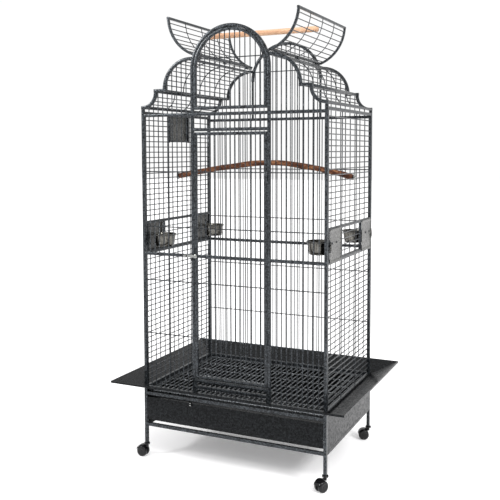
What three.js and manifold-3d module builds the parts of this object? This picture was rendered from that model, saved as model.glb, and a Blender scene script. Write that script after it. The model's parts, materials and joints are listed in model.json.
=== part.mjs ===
// A parrot cage on a rolling stand, with an open play top.
// Millimetres. X runs across the front, Y runs to the back, Z is up.
// The origin is on the floor under the middle of the cage.
import * as THREE from "three";
import { mergeVertices } from "three/addons/utils/BufferGeometryUtils.js";
import Module from "manifold-3d";

const wasm = await Module();
wasm.setup();

// Stock that the cage is welded from.
const TUBE = 12.7;
const WIRE = 3.2;
const PITCH = 22;
const SHEET = 2;
const GAP = 0.3;
const EMBED = 1.6;
const WELD_MERGE = 1e-4;

// Cage body: the outer faces of the corner posts, and the heights of the rails.
const HALF_X = 406.5;
const HALF_Y = 300;
const BODY_BASE = 296.3;
const MID_RAIL = 874.5;
const TOP_RAIL = 1447;
const SIDE_TOP_RAIL = 1458;
const POST_TOP = 1474.3;
const CROSS_WIRES = [537, 763.5, 988, 1216];
const POST_IN_X = HALF_X - TUBE;
const POST_IN_Y = HALF_Y - TUBE;
const TUBE_Y = HALF_Y - TUBE / 2;
const TUBE_X = HALF_X - TUBE / 2;
const CROSS_Y = TUBE_Y - WIRE - GAP;
const SIDE_CROSS_X = TUBE_X - WIRE - GAP;
const HALF_TUBE = TUBE / 2;
const HALF_WIRE = WIRE / 2;

// Doorway in the front, and the arch above it.
const STILE_OUT = 174;
const STILE_IN = STILE_OUT - TUBE;
const DOOR_EDGE = STILE_IN - 2 * GAP;
const DOOR_IN = DOOR_EDGE - TUBE;
const DOOR_BARS = 6;
const SILL_RAILS = [BODY_BASE + HALF_TUBE, 334, 360];
const DOOR_BOTTOM_RAIL = 375;
const DOOR_TOP_RAIL = 1369;
const HEADER_RAIL = 1385.5;
const ARCH_Z = 1623;
const ARCH_WIRE = 1666;
const WINDOW_RAIL = 1471;
const SIDE_BARS = 9;

// Rounded shoulders of the roof: a convex quarter, a step and a concave quarter.
const CONVEX = { x: 175, z: 1548, r: 122 };
const CONCAVE = { x: 399, z: 1541, r: 60 };
const ARC_STEPS = 6;
const STEP_Z = CONVEX.z;
const STEP_IN = CONVEX.x + CONVEX.r - HALF_TUBE;
const STEP_OUT = CONCAVE.x - CONCAVE.r + HALF_TUBE;

// Roof grids and flaps.
const ROOF_HALF_Y = POST_IN_Y - GAP;
const ROOF_STRIP = 6;
const ROOF_RIBS = [-143, 0, 143];
const CONVEX_SPACES = 9;
const CONCAVE_SPACES = 5;
const FLAP_HALF_Y = 286;
const FLAP_OUT = STILE_OUT;
const FLAP_TUBE = 10;
const FLAP_IN = FLAP_OUT - FLAP_TUBE;
const FLAP_START = THREE.MathUtils.degToRad(18.8);
const FLAP_END = THREE.MathUtils.degToRad(89.8);
const FLAP_SPACES = 9;
const FLAP_OPEN = THREE.MathUtils.degToRad(91);
const FLAP_AXIS = { x: 167.6, z: 1679.3 };
const FLAP_ROD_R = 2;
const FLAP_LUGS = [-230, 0, 230];
const FLAP_LUG = { size: 9, length: 22, hole: 2.5 };
const ROD_FEET = [-260, -90, 90, 260];
const SHOULDER_RAIL = { x0: 170, x1: 180, z0: 1663.5, z1: 1671.5 };

// Side panels: lower grille, feeder band, upper grille.
const BAND_LOW = MID_RAIL + HALF_TUBE + GAP;
const BAND_TOP = 1004;
const BAND_RAIL = 8;
const BAND_SILL = 3;
const SIDE_STILE = 6;
const SIDE_X0 = POST_IN_X + 0.2;
const SIDE_X1 = HALF_X - GAP;
const SIDE_RIBS = [-96, 96];
const NEST = { half_y: 82, z0: 1340, z1: 1452, frame: 6 };

// Feeder doors: a plate on the outside and a ring inside that holds a cup.
const FEEDERS = [
  { y0: -271, y1: -137, hinge: -1 },
  { y0: 146, y1: 280, hinge: 1 },
];
const FEEDER_Z = { low: 873, high: 1002 };
const FEEDER_LIP = 2;
const FEEDER_AXIS = { out: 3.8, along: 0.5, r: 1.5, hole: 1.9, knuckle: 3.4 };
const FEEDER_KNUCKLE = { z0: 922, z1: 952 };
const CUP = { x: 345, along: 50.5, rim: 48.5, wall: 45.9, foot: 38, z0: 900, ring_z: 950 };
const CUP_WALL = 1.6;
const CUP_SIDES = 14;
const RING_HIGH = 4;

// Stand.
const LEG_FOOT = 61.7;
const STAND_TOP = 284;
const LOW_RAIL = 143;
const LEDGE = { x: 380, thick: 2.3 };
const RUNNER = { x: 376, z0: 185, z1: 189.7 };
const TRAY = {
  half_x: 392.5, front: 299, high: 262, crease: 184, low: 162, tuck: 5,
  pan_x: 385, pan_y: 280, pan_z: 190, wall: 240,
};
const TRAY_CLIP = { x: -184, half: 6, z0: 250, z1: 268, out: 4 };
const GRATE = { half_x: 392, half_y: 286, bar: 6, z0: 284.9, z1: 294, wire_z: 290 };
const GRATE_WIRES = 17;
const GRATE_RIBS = [-190, -95, 0, 95, 190];
const SKIRT = { low: 298, high: 309, rise: 45, reach: 100, hem: 8 };

// Perches.
const TOP_PERCH = { r: 12, half: 260, z: 1798 };
const INNER_PERCH = { r: 13, end_x: 396.7, z: 1191, high: 1250, y0: 0, y1: 50 };
const PERCH_BOLT = { washer_r: 16, washer: 2, shaft_r: 3, wing: 24, wing_high: 9 };

// Swivel casters with twin wheels.
const WHEEL = { r: 24, hub: 4, inner: 4.6, face: 14, side: 20, shoulder: 18 };
const WHEEL_SIDES = 12;
const WHEEL_TURN = Math.PI / WHEEL_SIDES;
const WHEEL_Z = WHEEL.r * Math.cos(WHEEL_TURN);
const CASTER = { trail: 20, collar_r: 12.5, collar: 8, web: 3.5, hood_in: 25, hood_out: 27.5 };

// Surfaces.
const steel = new THREE.MeshStandardMaterial({
  color: 0x4a4e52, metalness: 0.75, roughness: 0.5,
});
const sheetSteel = new THREE.MeshStandardMaterial({
  color: 0x5c6064, metalness: 0.7, roughness: 0.55,
});
const bare = new THREE.MeshStandardMaterial({
  color: 0xb9bcc0, metalness: 1, roughness: 0.28,
});
const paleWood = new THREE.MeshStandardMaterial({ color: 0xd8a878, roughness: 0.6 });
const redWood = new THREE.MeshStandardMaterial({ color: 0x7a4632, roughness: 0.7 });
const blackPlastic = new THREE.MeshStandardMaterial({ color: 0x15161a, roughness: 0.45 });

// ---- Shapes ----

function solid(geometry) {
  const plain = geometry.clone();
  plain.deleteAttribute("normal");
  plain.deleteAttribute("uv");
  const merged = mergeVertices(plain, WELD_MERGE);
  return new wasm.Manifold(
    new wasm.Mesh({
      numProp: 3,
      vertProperties: merged.attributes.position.array,
      triVerts: merged.index.array,
    }),
  );
}

function joined(pieces) {
  return pieces.slice(1).reduce((sum, piece) => sum.add(piece), pieces[0]);
}

// A box between two corners, in any order.
function box(x0, x1, y0, y1, z0, z1) {
  const geometry = new THREE.BoxGeometry(
    Math.abs(x1 - x0), Math.abs(y1 - y0), Math.abs(z1 - z0),
  );
  geometry.translate((x0 + x1) / 2, (y0 + y1) / 2, (z0 + z1) / 2);
  return solid(geometry);
}

function uprightWire(x, y, z0, z1) {
  return box(x - HALF_WIRE, x + HALF_WIRE, y - HALF_WIRE, y + HALF_WIRE, z0, z1);
}

function crossWire(x0, x1, y, z) {
  return box(x0, x1, y - HALF_WIRE, y + HALF_WIRE, z - HALF_WIRE, z + HALF_WIRE);
}

function depthWire(x, y0, y1, z) {
  return box(x - HALF_WIRE, x + HALF_WIRE, y0, y1, z - HALF_WIRE, z + HALF_WIRE);
}

function xRail(x0, x1, yCentre, z) {
  return box(x0, x1, yCentre - HALF_TUBE, yCentre + HALF_TUBE, z - HALF_TUBE, z + HALF_TUBE);
}

// A flat shape drawn in X and Z, with its thickness from y0 to y1.
function plate(shape, y0, y1, curveSegments = ARC_STEPS) {
  const geometry = new THREE.ExtrudeGeometry(shape, {
    depth: y1 - y0, bevelEnabled: false, curveSegments,
  });
  geometry.rotateX(Math.PI / 2);
  geometry.translate(0, y1, 0);
  return solid(geometry);
}

// Part of a flat ring about (x, z), between two angles.
function ringSector(x, z, rIn, rOut, start, end, y0, y1, steps = ARC_STEPS) {
  const shape = new THREE.Shape();
  const points = [];
  for (let i = 0; i <= steps; i++) {
    const a = start + ((end - start) * i) / steps;
    points.push([x + rOut * Math.cos(a), z + rOut * Math.sin(a)]);
  }
  for (let i = steps; i >= 0; i--) {
    const a = start + ((end - start) * i) / steps;
    points.push([x + rIn * Math.cos(a), z + rIn * Math.sin(a)]);
  }
  shape.setFromPoints(points.map(([px, pz]) => new THREE.Vector2(px, pz)));
  return plate(shape, y0, y1);
}

function roundBar(radius, length, sides = 8) {
  return new THREE.CylinderGeometry(radius, radius, length, sides);
}

function alongX(geometry, x, y, z) {
  return solid(geometry.rotateZ(Math.PI / 2).translate(x, y, z));
}

function alongY(geometry, x, y, z) {
  return solid(geometry.translate(x, y, z));
}

function alongZ(geometry, x, y, z) {
  return solid(geometry.rotateX(Math.PI / 2).translate(x, y, z));
}

const cage = new THREE.Group();
cage.name = "bird_cage_on_stand";

function add(name, body, material) {
  const raw = body.getMesh();
  const geometry = new THREE.BufferGeometry();
  geometry.setAttribute("position", new THREE.BufferAttribute(raw.vertProperties, 3));
  geometry.setIndex(new THREE.BufferAttribute(raw.triVerts, 1));
  const flat = geometry.toNonIndexed();
  flat.computeVertexNormals();
  const mesh = new THREE.Mesh(flat, material);
  mesh.name = name;
  cage.add(mesh);
  return mesh;
}

function mirroredX(body) {
  return body.mirror([1, 0, 0]);
}

const SIDES = [
  { name: "left", s: -1 },
  { name: "right", s: 1 },
];

// ---- Flat panels ----

// Fixed grille beside the doorway: corner post, door stile, rails and bars.
for (const { name, s } of SIDES) {
  const pieces = [
    box(s * POST_IN_X, s * HALF_X, -HALF_Y, -POST_IN_Y, BODY_BASE, POST_TOP),
    box(s * STILE_IN, s * STILE_OUT, -HALF_Y, -POST_IN_Y, BODY_BASE, TOP_RAIL - HALF_TUBE - GAP),
    xRail(s * (STILE_OUT - EMBED), s * (POST_IN_X + EMBED), -TUBE_Y, BODY_BASE + HALF_TUBE),
    xRail(s * (STILE_OUT - EMBED), s * (POST_IN_X + EMBED), -TUBE_Y, MID_RAIL),
  ];
  for (let k = 1; k <= SIDE_BARS; k++) {
    pieces.push(
      uprightWire(
        s * (STILE_OUT + k * PITCH), -TUBE_Y,
        BODY_BASE + TUBE - EMBED, TOP_RAIL - HALF_TUBE - GAP,
      ),
    );
  }
  for (const z of CROSS_WIRES) {
    pieces.push(
      crossWire(s * (STILE_OUT - EMBED), s * (POST_IN_X + EMBED), -CROSS_Y, z),
    );
  }
  add("front_" + name + "_grille", joined(pieces), steel);
}

// Sill under the door.
{
  const reach = STILE_IN - GAP;
  const pieces = SILL_RAILS.map((z) => xRail(-reach, reach, -TUBE_Y, z));
  for (let k = -DOOR_BARS; k <= DOOR_BARS; k++) {
    pieces.push(
      uprightWire(k * PITCH, -TUBE_Y, SILL_RAILS[0], SILL_RAILS[2]),
    );
  }
  for (const s of [-1, 1]) {
    pieces.push(
      box(s * (reach - SIDE_STILE), s * reach, -HALF_Y + EMBED, -POST_IN_Y - EMBED, SILL_RAILS[0], SILL_RAILS[2]),
    );
  }
  add("front_sill", joined(pieces), steel);
}

// The outline above the top rail, shared by the front and the back.
function crownPieces(y0, y1) {
  const y = (y0 + y1) / 2;
  const railTop = TOP_RAIL + HALF_TUBE;
  const pieces = [xRail(-POST_IN_X + GAP, POST_IN_X - GAP, y, TOP_RAIL)];
  pieces.push(
    ringSector(0, ARCH_Z, STILE_IN, STILE_OUT, 0, Math.PI, y0, y1, 2 * ARC_STEPS),
  );
  for (const s of [-1, 1]) {
    const turn = (a) => (s > 0 ? a : Math.PI - a);
    const sector = (c, start, end) => {
      const ends = [turn(start), turn(end)].sort((a, b) => a - b);
      return ringSector(s * c.x, c.z, c.r - HALF_TUBE, c.r + HALF_TUBE, ...ends, y0, y1);
    };
    pieces.push(
      box(s * STILE_IN, s * STILE_OUT, y0, y1, railTop - EMBED, ARCH_Z + 0.5),
      sector(CONVEX, 0, Math.PI / 2 + 0.05),
      box(s * STEP_IN, s * STEP_OUT, y0, y1, STEP_Z - HALF_TUBE, STEP_Z + HALF_TUBE),
      sector(CONCAVE, Math.PI - 0.05, Math.PI * 1.5),
      box(
        s * (CONCAVE.x - 1), s * HALF_X, y0, y1,
        CONCAVE.z - CONCAVE.r - HALF_TUBE + 0.001, CONCAVE.z - CONCAVE.r + HALF_TUBE,
      ),
    );
    for (let k = 1; k <= SIDE_BARS; k++) {
      const x = STILE_OUT + k * PITCH;
      let top = STEP_Z;
      if (x < STEP_IN - 3) {
        top = CONVEX.z + Math.sqrt((CONVEX.r - 2) ** 2 - (x - CONVEX.x) ** 2);
      } else if (x > STEP_OUT) {
        top = CONCAVE.z - Math.sqrt((CONCAVE.r + 2) ** 2 - (CONCAVE.x - x) ** 2);
      }
      pieces.push(uprightWire(s * x, y, railTop - EMBED, top));
    }
  }
  return pieces;
}

// Front crown: the outline, with the header over the doorway.
{
  const reach = STILE_IN - GAP;
  const pieces = crownPieces(-HALF_Y, -POST_IN_Y);
  pieces.push(xRail(-reach, reach, -TUBE_Y, HEADER_RAIL));
  for (let k = -DOOR_BARS; k <= DOOR_BARS; k++) {
    pieces.push(uprightWire(k * PITCH, -TUBE_Y, HEADER_RAIL, TOP_RAIL));
  }
  add("front_crown", joined(pieces), steel);
}

// Back crown: the same outline with bars and a cross wire in its arch.
{
  const pieces = crownPieces(POST_IN_Y, HALF_Y);
  for (let k = -7; k <= 7; k++) {
    const x = k * PITCH;
    pieces.push(
      uprightWire(x, TUBE_Y, TOP_RAIL, ARCH_Z + Math.sqrt((STILE_IN + 4) ** 2 - x * x)),
    );
  }
  pieces.push(crossWire(-STILE_IN + 5, STILE_IN - 5, CROSS_Y, ARCH_WIRE));
  add("back_crown", joined(pieces), steel);
}

// Arched window frame in the crown's arch.
{
  const pieces = [
    ringSector(0, ARCH_Z, DOOR_IN, DOOR_EDGE, 0, Math.PI, -HALF_Y, -POST_IN_Y, 2 * ARC_STEPS),
    xRail(-DOOR_EDGE, DOOR_EDGE, -TUBE_Y, WINDOW_RAIL),
    crossWire(-DOOR_IN + 6, DOOR_IN - 6, -CROSS_Y, ARCH_WIRE),
  ];
  for (const s of [-1, 1]) {
    pieces.push(
      box(s * DOOR_IN, s * DOOR_EDGE, -HALF_Y, -POST_IN_Y, WINDOW_RAIL, ARCH_Z + 0.5),
    );
  }
  for (let k = -DOOR_BARS; k <= DOOR_BARS; k++) {
    const x = k * PITCH;
    pieces.push(
      uprightWire(x, -TUBE_Y, WINDOW_RAIL, ARCH_Z + Math.sqrt((DOOR_IN + 4) ** 2 - x * x)),
    );
  }
  add("arch_window", joined(pieces), steel);
}

// Back panel, from post to post.
{
  const pieces = [
    xRail(-POST_IN_X - EMBED, POST_IN_X + EMBED, TUBE_Y, BODY_BASE + HALF_TUBE),
    xRail(-POST_IN_X - EMBED, POST_IN_X + EMBED, TUBE_Y, MID_RAIL),
  ];
  for (const s of [-1, 1]) {
    pieces.push(box(s * POST_IN_X, s * HALF_X, POST_IN_Y, HALF_Y, BODY_BASE, POST_TOP));
  }
  for (let k = -17; k <= 17; k++) {
    pieces.push(
      uprightWire(
        k * PITCH, TUBE_Y, BODY_BASE + TUBE - EMBED, TOP_RAIL - HALF_TUBE - GAP,
      ),
    );
  }
  for (const z of CROSS_WIRES) {
    pieces.push(crossWire(-POST_IN_X - EMBED, POST_IN_X + EMBED, CROSS_Y, z));
  }
  add("back_panel", joined(pieces), steel);
}

// ---- Side panels ----

function sideRail(z0, z1) {
  return box(SIDE_X0, SIDE_X1, -POST_IN_Y + GAP, POST_IN_Y - GAP, z0, z1);
}

function sideStile(y0, y1, z0, z1) {
  return box(SIDE_X0, SIDE_X1, y0, y1, z0, z1);
}

function sideWires(y0, y1, z0, z1) {
  const spaces = Math.round((z1 - z0) / PITCH);
  const wires = [];
  for (let k = 1; k < spaces; k++) {
    wires.push(depthWire(TUBE_X, y0, y1, z0 + ((z1 - z0) * k) / spaces));
  }
  return wires;
}

function sideRibs(z0, z1) {
  return SIDE_RIBS.map((y) => uprightWire(SIDE_CROSS_X, y, z0, z1));
}

const SIDE_END = POST_IN_Y - GAP;
const WIRE_END = SIDE_END - SIDE_STILE + EMBED;

function lowerGrille() {
  const low = BODY_BASE + TUBE;
  const high = MID_RAIL - HALF_TUBE;
  const pieces = [
    sideRail(BODY_BASE, low),
    sideRail(high, high + TUBE),
    sideStile(-SIDE_END, -SIDE_END + SIDE_STILE, BODY_BASE, high + 1),
    sideStile(SIDE_END - SIDE_STILE, SIDE_END, BODY_BASE, high + 1),
    ...sideWires(-WIRE_END, WIRE_END, low, high),
    ...sideRibs(low - EMBED, high + EMBED),
  ];
  return joined(pieces);
}

// Feeder band: openings for the two feeders, with the hinge pins of their doors.
function feederBand() {
  const z0 = BAND_LOW;
  const z1 = BAND_TOP - BAND_RAIL;
  const pieces = [sideRail(z0, z0 + BAND_SILL), sideRail(z1, BAND_TOP)];
  for (const y of [-SIDE_END, SIDE_END - SIDE_STILE]) {
    pieces.push(sideStile(y, y + SIDE_STILE, z0, BAND_TOP));
  }
  const edges = [];
  for (const f of FEEDERS) {
    const low = f.y0 + FEEDER_LIP;
    const high = f.y1 - FEEDER_LIP;
    edges.push(low, high);
    pieces.push(
      sideStile(low - SIDE_STILE, low, z0, BAND_TOP),
      sideStile(high, Math.min(high + SIDE_STILE, SIDE_END), z0, BAND_TOP),
    );
    const y = f.hinge < 0 ? f.y0 - FEEDER_AXIS.along : f.y1 + FEEDER_AXIS.along;
    const x = HALF_X + FEEDER_AXIS.out;
    const k = FEEDER_KNUCKLE;
    pieces.push(alongZ(roundBar(FEEDER_AXIS.r, k.z1 - k.z0 + 10), x, y, (k.z0 + k.z1) / 2));
    for (const z of [k.z0 - 6, k.z1 + 2]) {
      pieces.push(
        box(SIDE_X1 - EMBED, x + FEEDER_AXIS.r, y - 0.2 * f.hinge, y + 3 * f.hinge, z, z + 4),
        sideStile(y - 4 * f.hinge, y + 3 * f.hinge, z, z + 4),
      );
    }
  }
  const spaces = Math.round((z1 - z0) / PITCH);
  for (let k = 1; k < spaces; k++) {
    const z = z0 + ((z1 - z0) * k) / spaces;
    pieces.push(depthWire(TUBE_X, edges[1] + 2, edges[2] - 2, z));
  }
  pieces.push(...sideRibs(z0 + 1, z1 + EMBED));
  return joined(pieces);
}

function upperGrille(withNest) {
  const low = BAND_TOP + GAP;
  const high = SIDE_TOP_RAIL - HALF_TUBE;
  const base = low + BAND_SILL;
  const pieces = [
    sideRail(low, base),
    sideRail(high, high + TUBE),
    sideStile(-SIDE_END, -SIDE_END + SIDE_STILE, low, high + 1),
    sideStile(SIDE_END - SIDE_STILE, SIDE_END, low, high + 1),
  ];
  if (!withNest) {
    pieces.push(...sideWires(-WIRE_END, WIRE_END, base, high));
    pieces.push(...sideRibs(base - 1, high + EMBED));
    return joined(pieces);
  }
  const spaces = Math.round((high - base) / PITCH);
  const inner = NEST.half_y - FEEDER_LIP;
  for (let k = 1; k < spaces; k++) {
    const z = base + ((high - base) * k) / spaces;
    if (z < NEST.z0) {
      pieces.push(depthWire(TUBE_X, -WIRE_END, WIRE_END, z));
    } else {
      pieces.push(depthWire(TUBE_X, -WIRE_END, -inner - 2, z));
      pieces.push(depthWire(TUBE_X, inner + 2, WIRE_END, z));
    }
  }
  pieces.push(
    sideStile(-inner - NEST.frame, -inner, NEST.z0, high + 1),
    sideStile(inner, inner + NEST.frame, NEST.z0, high + 1),
    sideStile(-inner - NEST.frame, inner + NEST.frame, NEST.z0, NEST.z0 + NEST.frame),
    ...sideRibs(base - 1, high + EMBED),
  );
  const x = HALF_X + FEEDER_AXIS.out;
  const y = NEST.half_y + FEEDER_AXIS.along;
  const middle = (NEST.z0 + NEST.z1) / 2;
  pieces.push(alongZ(roundBar(FEEDER_AXIS.r, 40), x, y, middle));
  for (const z of [middle - 21, middle + 17]) {
    pieces.push(
      box(SIDE_X1 - EMBED, x + FEEDER_AXIS.r, y - 0.2, y + 3, z, z + 4),
    );
  }
  return joined(pieces);
}

const rightPanels = {
  lower_grille: lowerGrille(),
  feeder_band: feederBand(),
};
for (const [key, body] of Object.entries(rightPanels)) {
  add("right_" + key, body, steel);
  add("left_" + key, mirroredX(body), steel);
}
add("right_upper_grille", upperGrille(false), steel);
add("left_upper_grille", mirroredX(upperGrille(true)), steel);

// A plate on the outside of a side panel, with one long knuckle at its hinge edge.
function hingedPlate(y0, y1, z0, z1, hinge, knuckle) {
  const x0 = HALF_X + GAP;
  const y = hinge < 0 ? y0 - FEEDER_AXIS.along : y1 + FEEDER_AXIS.along;
  const x = HALF_X + FEEDER_AXIS.out;
  const length = knuckle.z1 - knuckle.z0;
  const middle = (knuckle.z0 + knuckle.z1) / 2;
  const whole = joined([
    box(x0, x0 + SHEET, y0, y1, z0, z1),
    alongZ(roundBar(FEEDER_AXIS.knuckle, length), x, y, middle),
  ]);
  return whole.subtract(alongZ(roundBar(FEEDER_AXIS.hole, length + 20), x, y, middle));
}

// Feeder doors and cups.
for (const [row, f] of FEEDERS.entries()) {
  const place = row === 0 ? "front" : "back";
  const cupY = f.hinge < 0 ? f.y0 + CUP.along : f.y1 - CUP.along;
  const ringIn = CUP.wall + 0.5;
  const ring = solid(
    new THREE.LatheGeometry(
      [
        new THREE.Vector2(ringIn, 0),
        new THREE.Vector2(CUP.rim, 0),
        new THREE.Vector2(CUP.rim, RING_HIGH),
        new THREE.Vector2(ringIn, RING_HIGH),
        new THREE.Vector2(ringIn, 0),
      ],
      CUP_SIDES,
    ).rotateX(Math.PI / 2).translate(CUP.x, cupY, CUP.ring_z - RING_HIGH),
  );
  const arms = [-26, 26].map((dy) =>
    box(CUP.x + 40, HALF_X + GAP + 1, cupY + dy - 3, cupY + dy + 3, CUP.ring_z - RING_HIGH, CUP.ring_z),
  );
  const screws = [-26, 26].map((dy) =>
    alongX(roundBar(4, 3, 6), HALF_X + GAP + SHEET + 0.9, cupY + dy, CUP.ring_z - 2),
  );
  const door = joined([
    hingedPlate(f.y0, f.y1, FEEDER_Z.low, FEEDER_Z.high, f.hinge, FEEDER_KNUCKLE),
    ring,
    ...arms,
    ...screws,
  ]);
  const cup = solid(
    new THREE.LatheGeometry(
      [
        [0, CUP.z0],
        [CUP.foot, CUP.z0],
        [CUP.wall, CUP.ring_z + GAP],
        [CUP.rim, CUP.ring_z + GAP],
        [CUP.rim, CUP.ring_z + 3],
        [CUP.wall - CUP_WALL, CUP.ring_z + 3],
        [CUP.foot - CUP_WALL, CUP.z0 + CUP_WALL],
        [0, CUP.z0 + CUP_WALL],
      ].map(([r, z]) => new THREE.Vector2(r, z)),
      CUP_SIDES,
    ).rotateX(Math.PI / 2).translate(CUP.x, cupY, 0),
  );
  add("feeder_door_right_" + place, door, sheetSteel);
  add("feeder_door_left_" + place, mirroredX(door), sheetSteel);
  add("cup_right_" + place, cup, bare);
  add("cup_left_" + place, mirroredX(cup), bare);
}

// Nest-box door, high on the left side.
{
  const middle = (NEST.z0 + NEST.z1) / 2;
  const door = hingedPlate(
    -NEST.half_y, NEST.half_y, NEST.z0, NEST.z1, 1, { z0: middle - 16, z1: middle + 16 },
  );
  const knob = alongX(roundBar(5, 8), HALF_X + GAP + SHEET + 3.5, -NEST.half_y + 12, middle);
  add("nest_door", mirroredX(door.add(knob)), sheetSteel);
}

// ---- Roof ----

function roofShoulder() {
  const y0 = -ROOF_HALF_Y;
  const y1 = ROOF_HALF_Y;
  const half = ROOF_STRIP / 2;
  const r = SHOULDER_RAIL;
  const pieces = [
    box(r.x0, r.x1, y0, y1, r.z0, r.z1),
    box(CONVEX.x + 116, CONVEX.x + 125, y0, y1, STEP_Z - half, STEP_Z + half),
    box(CONCAVE.x - 65.5, CONCAVE.x - 57, y0, y1, STEP_Z - half - 6, STEP_Z + half),
    depthWire((STEP_IN + STEP_OUT) / 2, y0 + 1, y1 - 1, STEP_Z),
    box(CONCAVE.x - 4, SIDE_X1, y0, y1, CONCAVE.z - 66.3, CONCAVE.z - 57),
  ];
  for (const y of [y0, y1 - half * 2]) {
    pieces.push(
      ringSector(CONVEX.x, CONVEX.z, CONVEX.r - half, CONVEX.r + half, 0, Math.PI / 2, y, y + half * 2),
      box(STEP_IN, STEP_OUT - 1, y, y + half * 2, STEP_Z - half, STEP_Z + half),
      ringSector(
        CONCAVE.x, CONCAVE.z, CONCAVE.r - half, CONCAVE.r + half,
        Math.PI, Math.PI * 1.5, y, y + half * 2, CONCAVE_SPACES,
      ),
    );
  }
  for (let k = 1; k < CONVEX_SPACES; k++) {
    const a = (Math.PI / 2) * (k / CONVEX_SPACES);
    pieces.push(
      depthWire(CONVEX.x + CONVEX.r * Math.cos(a), y0 + 1, y1 - 1, CONVEX.z + CONVEX.r * Math.sin(a)),
    );
  }
  for (let k = 1; k < CONCAVE_SPACES; k++) {
    const a = Math.PI + (Math.PI / 2) * (k / CONCAVE_SPACES);
    pieces.push(
      depthWire(CONCAVE.x + CONCAVE.r * Math.cos(a), y0 + 1, y1 - 1, CONCAVE.z + CONCAVE.r * Math.sin(a)),
    );
  }
  const convexRib = CONVEX.r - HALF_WIRE * 1.42 - GAP;
  const concaveRib = CONCAVE.r + HALF_WIRE * 1.42 + GAP;
  for (const y of ROOF_RIBS) {
    pieces.push(
      ringSector(
        CONVEX.x, CONVEX.z, convexRib - WIRE, convexRib, 0, Math.PI / 2,
        y - HALF_WIRE, y + HALF_WIRE,
      ),
      ringSector(
        CONCAVE.x, CONCAVE.z, concaveRib, concaveRib + WIRE, Math.PI, Math.PI * 1.5,
        y - HALF_WIRE, y + HALF_WIRE, CONCAVE_SPACES,
      ),
      box(CONVEX.x + 118, CONCAVE.x - 60, y - HALF_WIRE, y + HALF_WIRE, STEP_Z - half, STEP_Z - 1),
    );
  }
  return joined(pieces);
}

{
  const shoulder = roofShoulder();
  add("roof_shoulder_right", shoulder, steel);
  add("roof_shoulder_left", mirroredX(shoulder), steel);
}

// Box laid across a flap at one angle of its arc, running along Y.
function flapRail(angle, inner, outer, wide, y0, y1) {
  const geometry = new THREE.BoxGeometry(outer - inner, y1 - y0, wide);
  geometry.translate((inner + outer) / 2, (y0 + y1) / 2, 0);
  geometry.rotateY(-angle);
  geometry.translate(0, 0, ARCH_Z);
  return solid(geometry);
}

// A roof flap, drawn closed and then swung open about its hinge rod.
function roofFlap() {
  const tilt = FLAP_TUBE / 2 / (FLAP_OUT - FLAP_TUBE / 2);
  const rodY = FLAP_HALF_Y;
  const pieces = [
    flapRail(FLAP_START + tilt, FLAP_IN, FLAP_OUT, FLAP_TUBE, -rodY, rodY),
    flapRail(FLAP_END - tilt, FLAP_IN, FLAP_OUT, FLAP_TUBE, -rodY, rodY),
  ];
  for (const y of [-rodY, rodY - FLAP_TUBE]) {
    pieces.push(
      ringSector(0, ARCH_Z, FLAP_IN, FLAP_OUT, FLAP_START + tilt, FLAP_END - tilt, y, y + FLAP_TUBE, 8),
    );
  }
  const wireR = (FLAP_IN + FLAP_OUT) / 2 + 1.5;
  for (let k = 1; k < FLAP_SPACES; k++) {
    const a = FLAP_START + ((FLAP_END - FLAP_START) * k) / FLAP_SPACES;
    pieces.push(
      flapRail(a, wireR - HALF_WIRE, wireR + HALF_WIRE, WIRE, -rodY + FLAP_TUBE - 2, rodY - FLAP_TUBE + 2),
    );
  }
  const ribOut = wireR - HALF_WIRE - GAP - 0.5;
  for (const y of ROOF_RIBS) {
    pieces.push(
      ringSector(
        0, ARCH_Z, ribOut - WIRE, ribOut, FLAP_START + tilt, FLAP_END - tilt,
        y - HALF_WIRE, y + HALF_WIRE, 8,
      ),
    );
  }
  const h = FLAP_LUG.size / 2;
  for (const y of FLAP_LUGS) {
    pieces.push(
      box(
        FLAP_AXIS.x - h, FLAP_AXIS.x + h, y - FLAP_LUG.length / 2, y + FLAP_LUG.length / 2,
        FLAP_AXIS.z - h, FLAP_AXIS.z + h,
      ),
    );
  }
  const bore = alongY(roundBar(FLAP_LUG.hole, 2 * rodY), FLAP_AXIS.x, 0, FLAP_AXIS.z);
  const degrees = THREE.MathUtils.radToDeg(FLAP_OPEN);
  return joined(pieces)
    .subtract(bore)
    .translate([-FLAP_AXIS.x, 0, -FLAP_AXIS.z])
    .rotate([0, degrees, 0])
    .translate([FLAP_AXIS.x, 0, FLAP_AXIS.z]);
}

{
  const flap = roofFlap();
  add("roof_flap_right", flap, steel);
  add("roof_flap_left", mirroredX(flap), steel);
  const rod = joined([
    alongY(roundBar(FLAP_ROD_R, 2 * FLAP_HALF_Y - 4), FLAP_AXIS.x, 0, FLAP_AXIS.z),
    ...ROD_FEET.map((y) =>
      box(
        FLAP_AXIS.x - 1, FLAP_AXIS.x + 5.4, y - 5, y + 5,
        SHOULDER_RAIL.z1 + GAP, SHOULDER_RAIL.z1 + GAP + 3,
      ).add(
        box(
          FLAP_AXIS.x - 1, FLAP_AXIS.x + 1, y - 5, y + 5,
          SHOULDER_RAIL.z1 + GAP, FLAP_AXIS.z,
        ),
      ),
    ),
  ]);
  add("flap_rod_right", rod, bare);
  add("flap_rod_left", mirroredX(rod), bare);
}

// ---- Door ----

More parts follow.
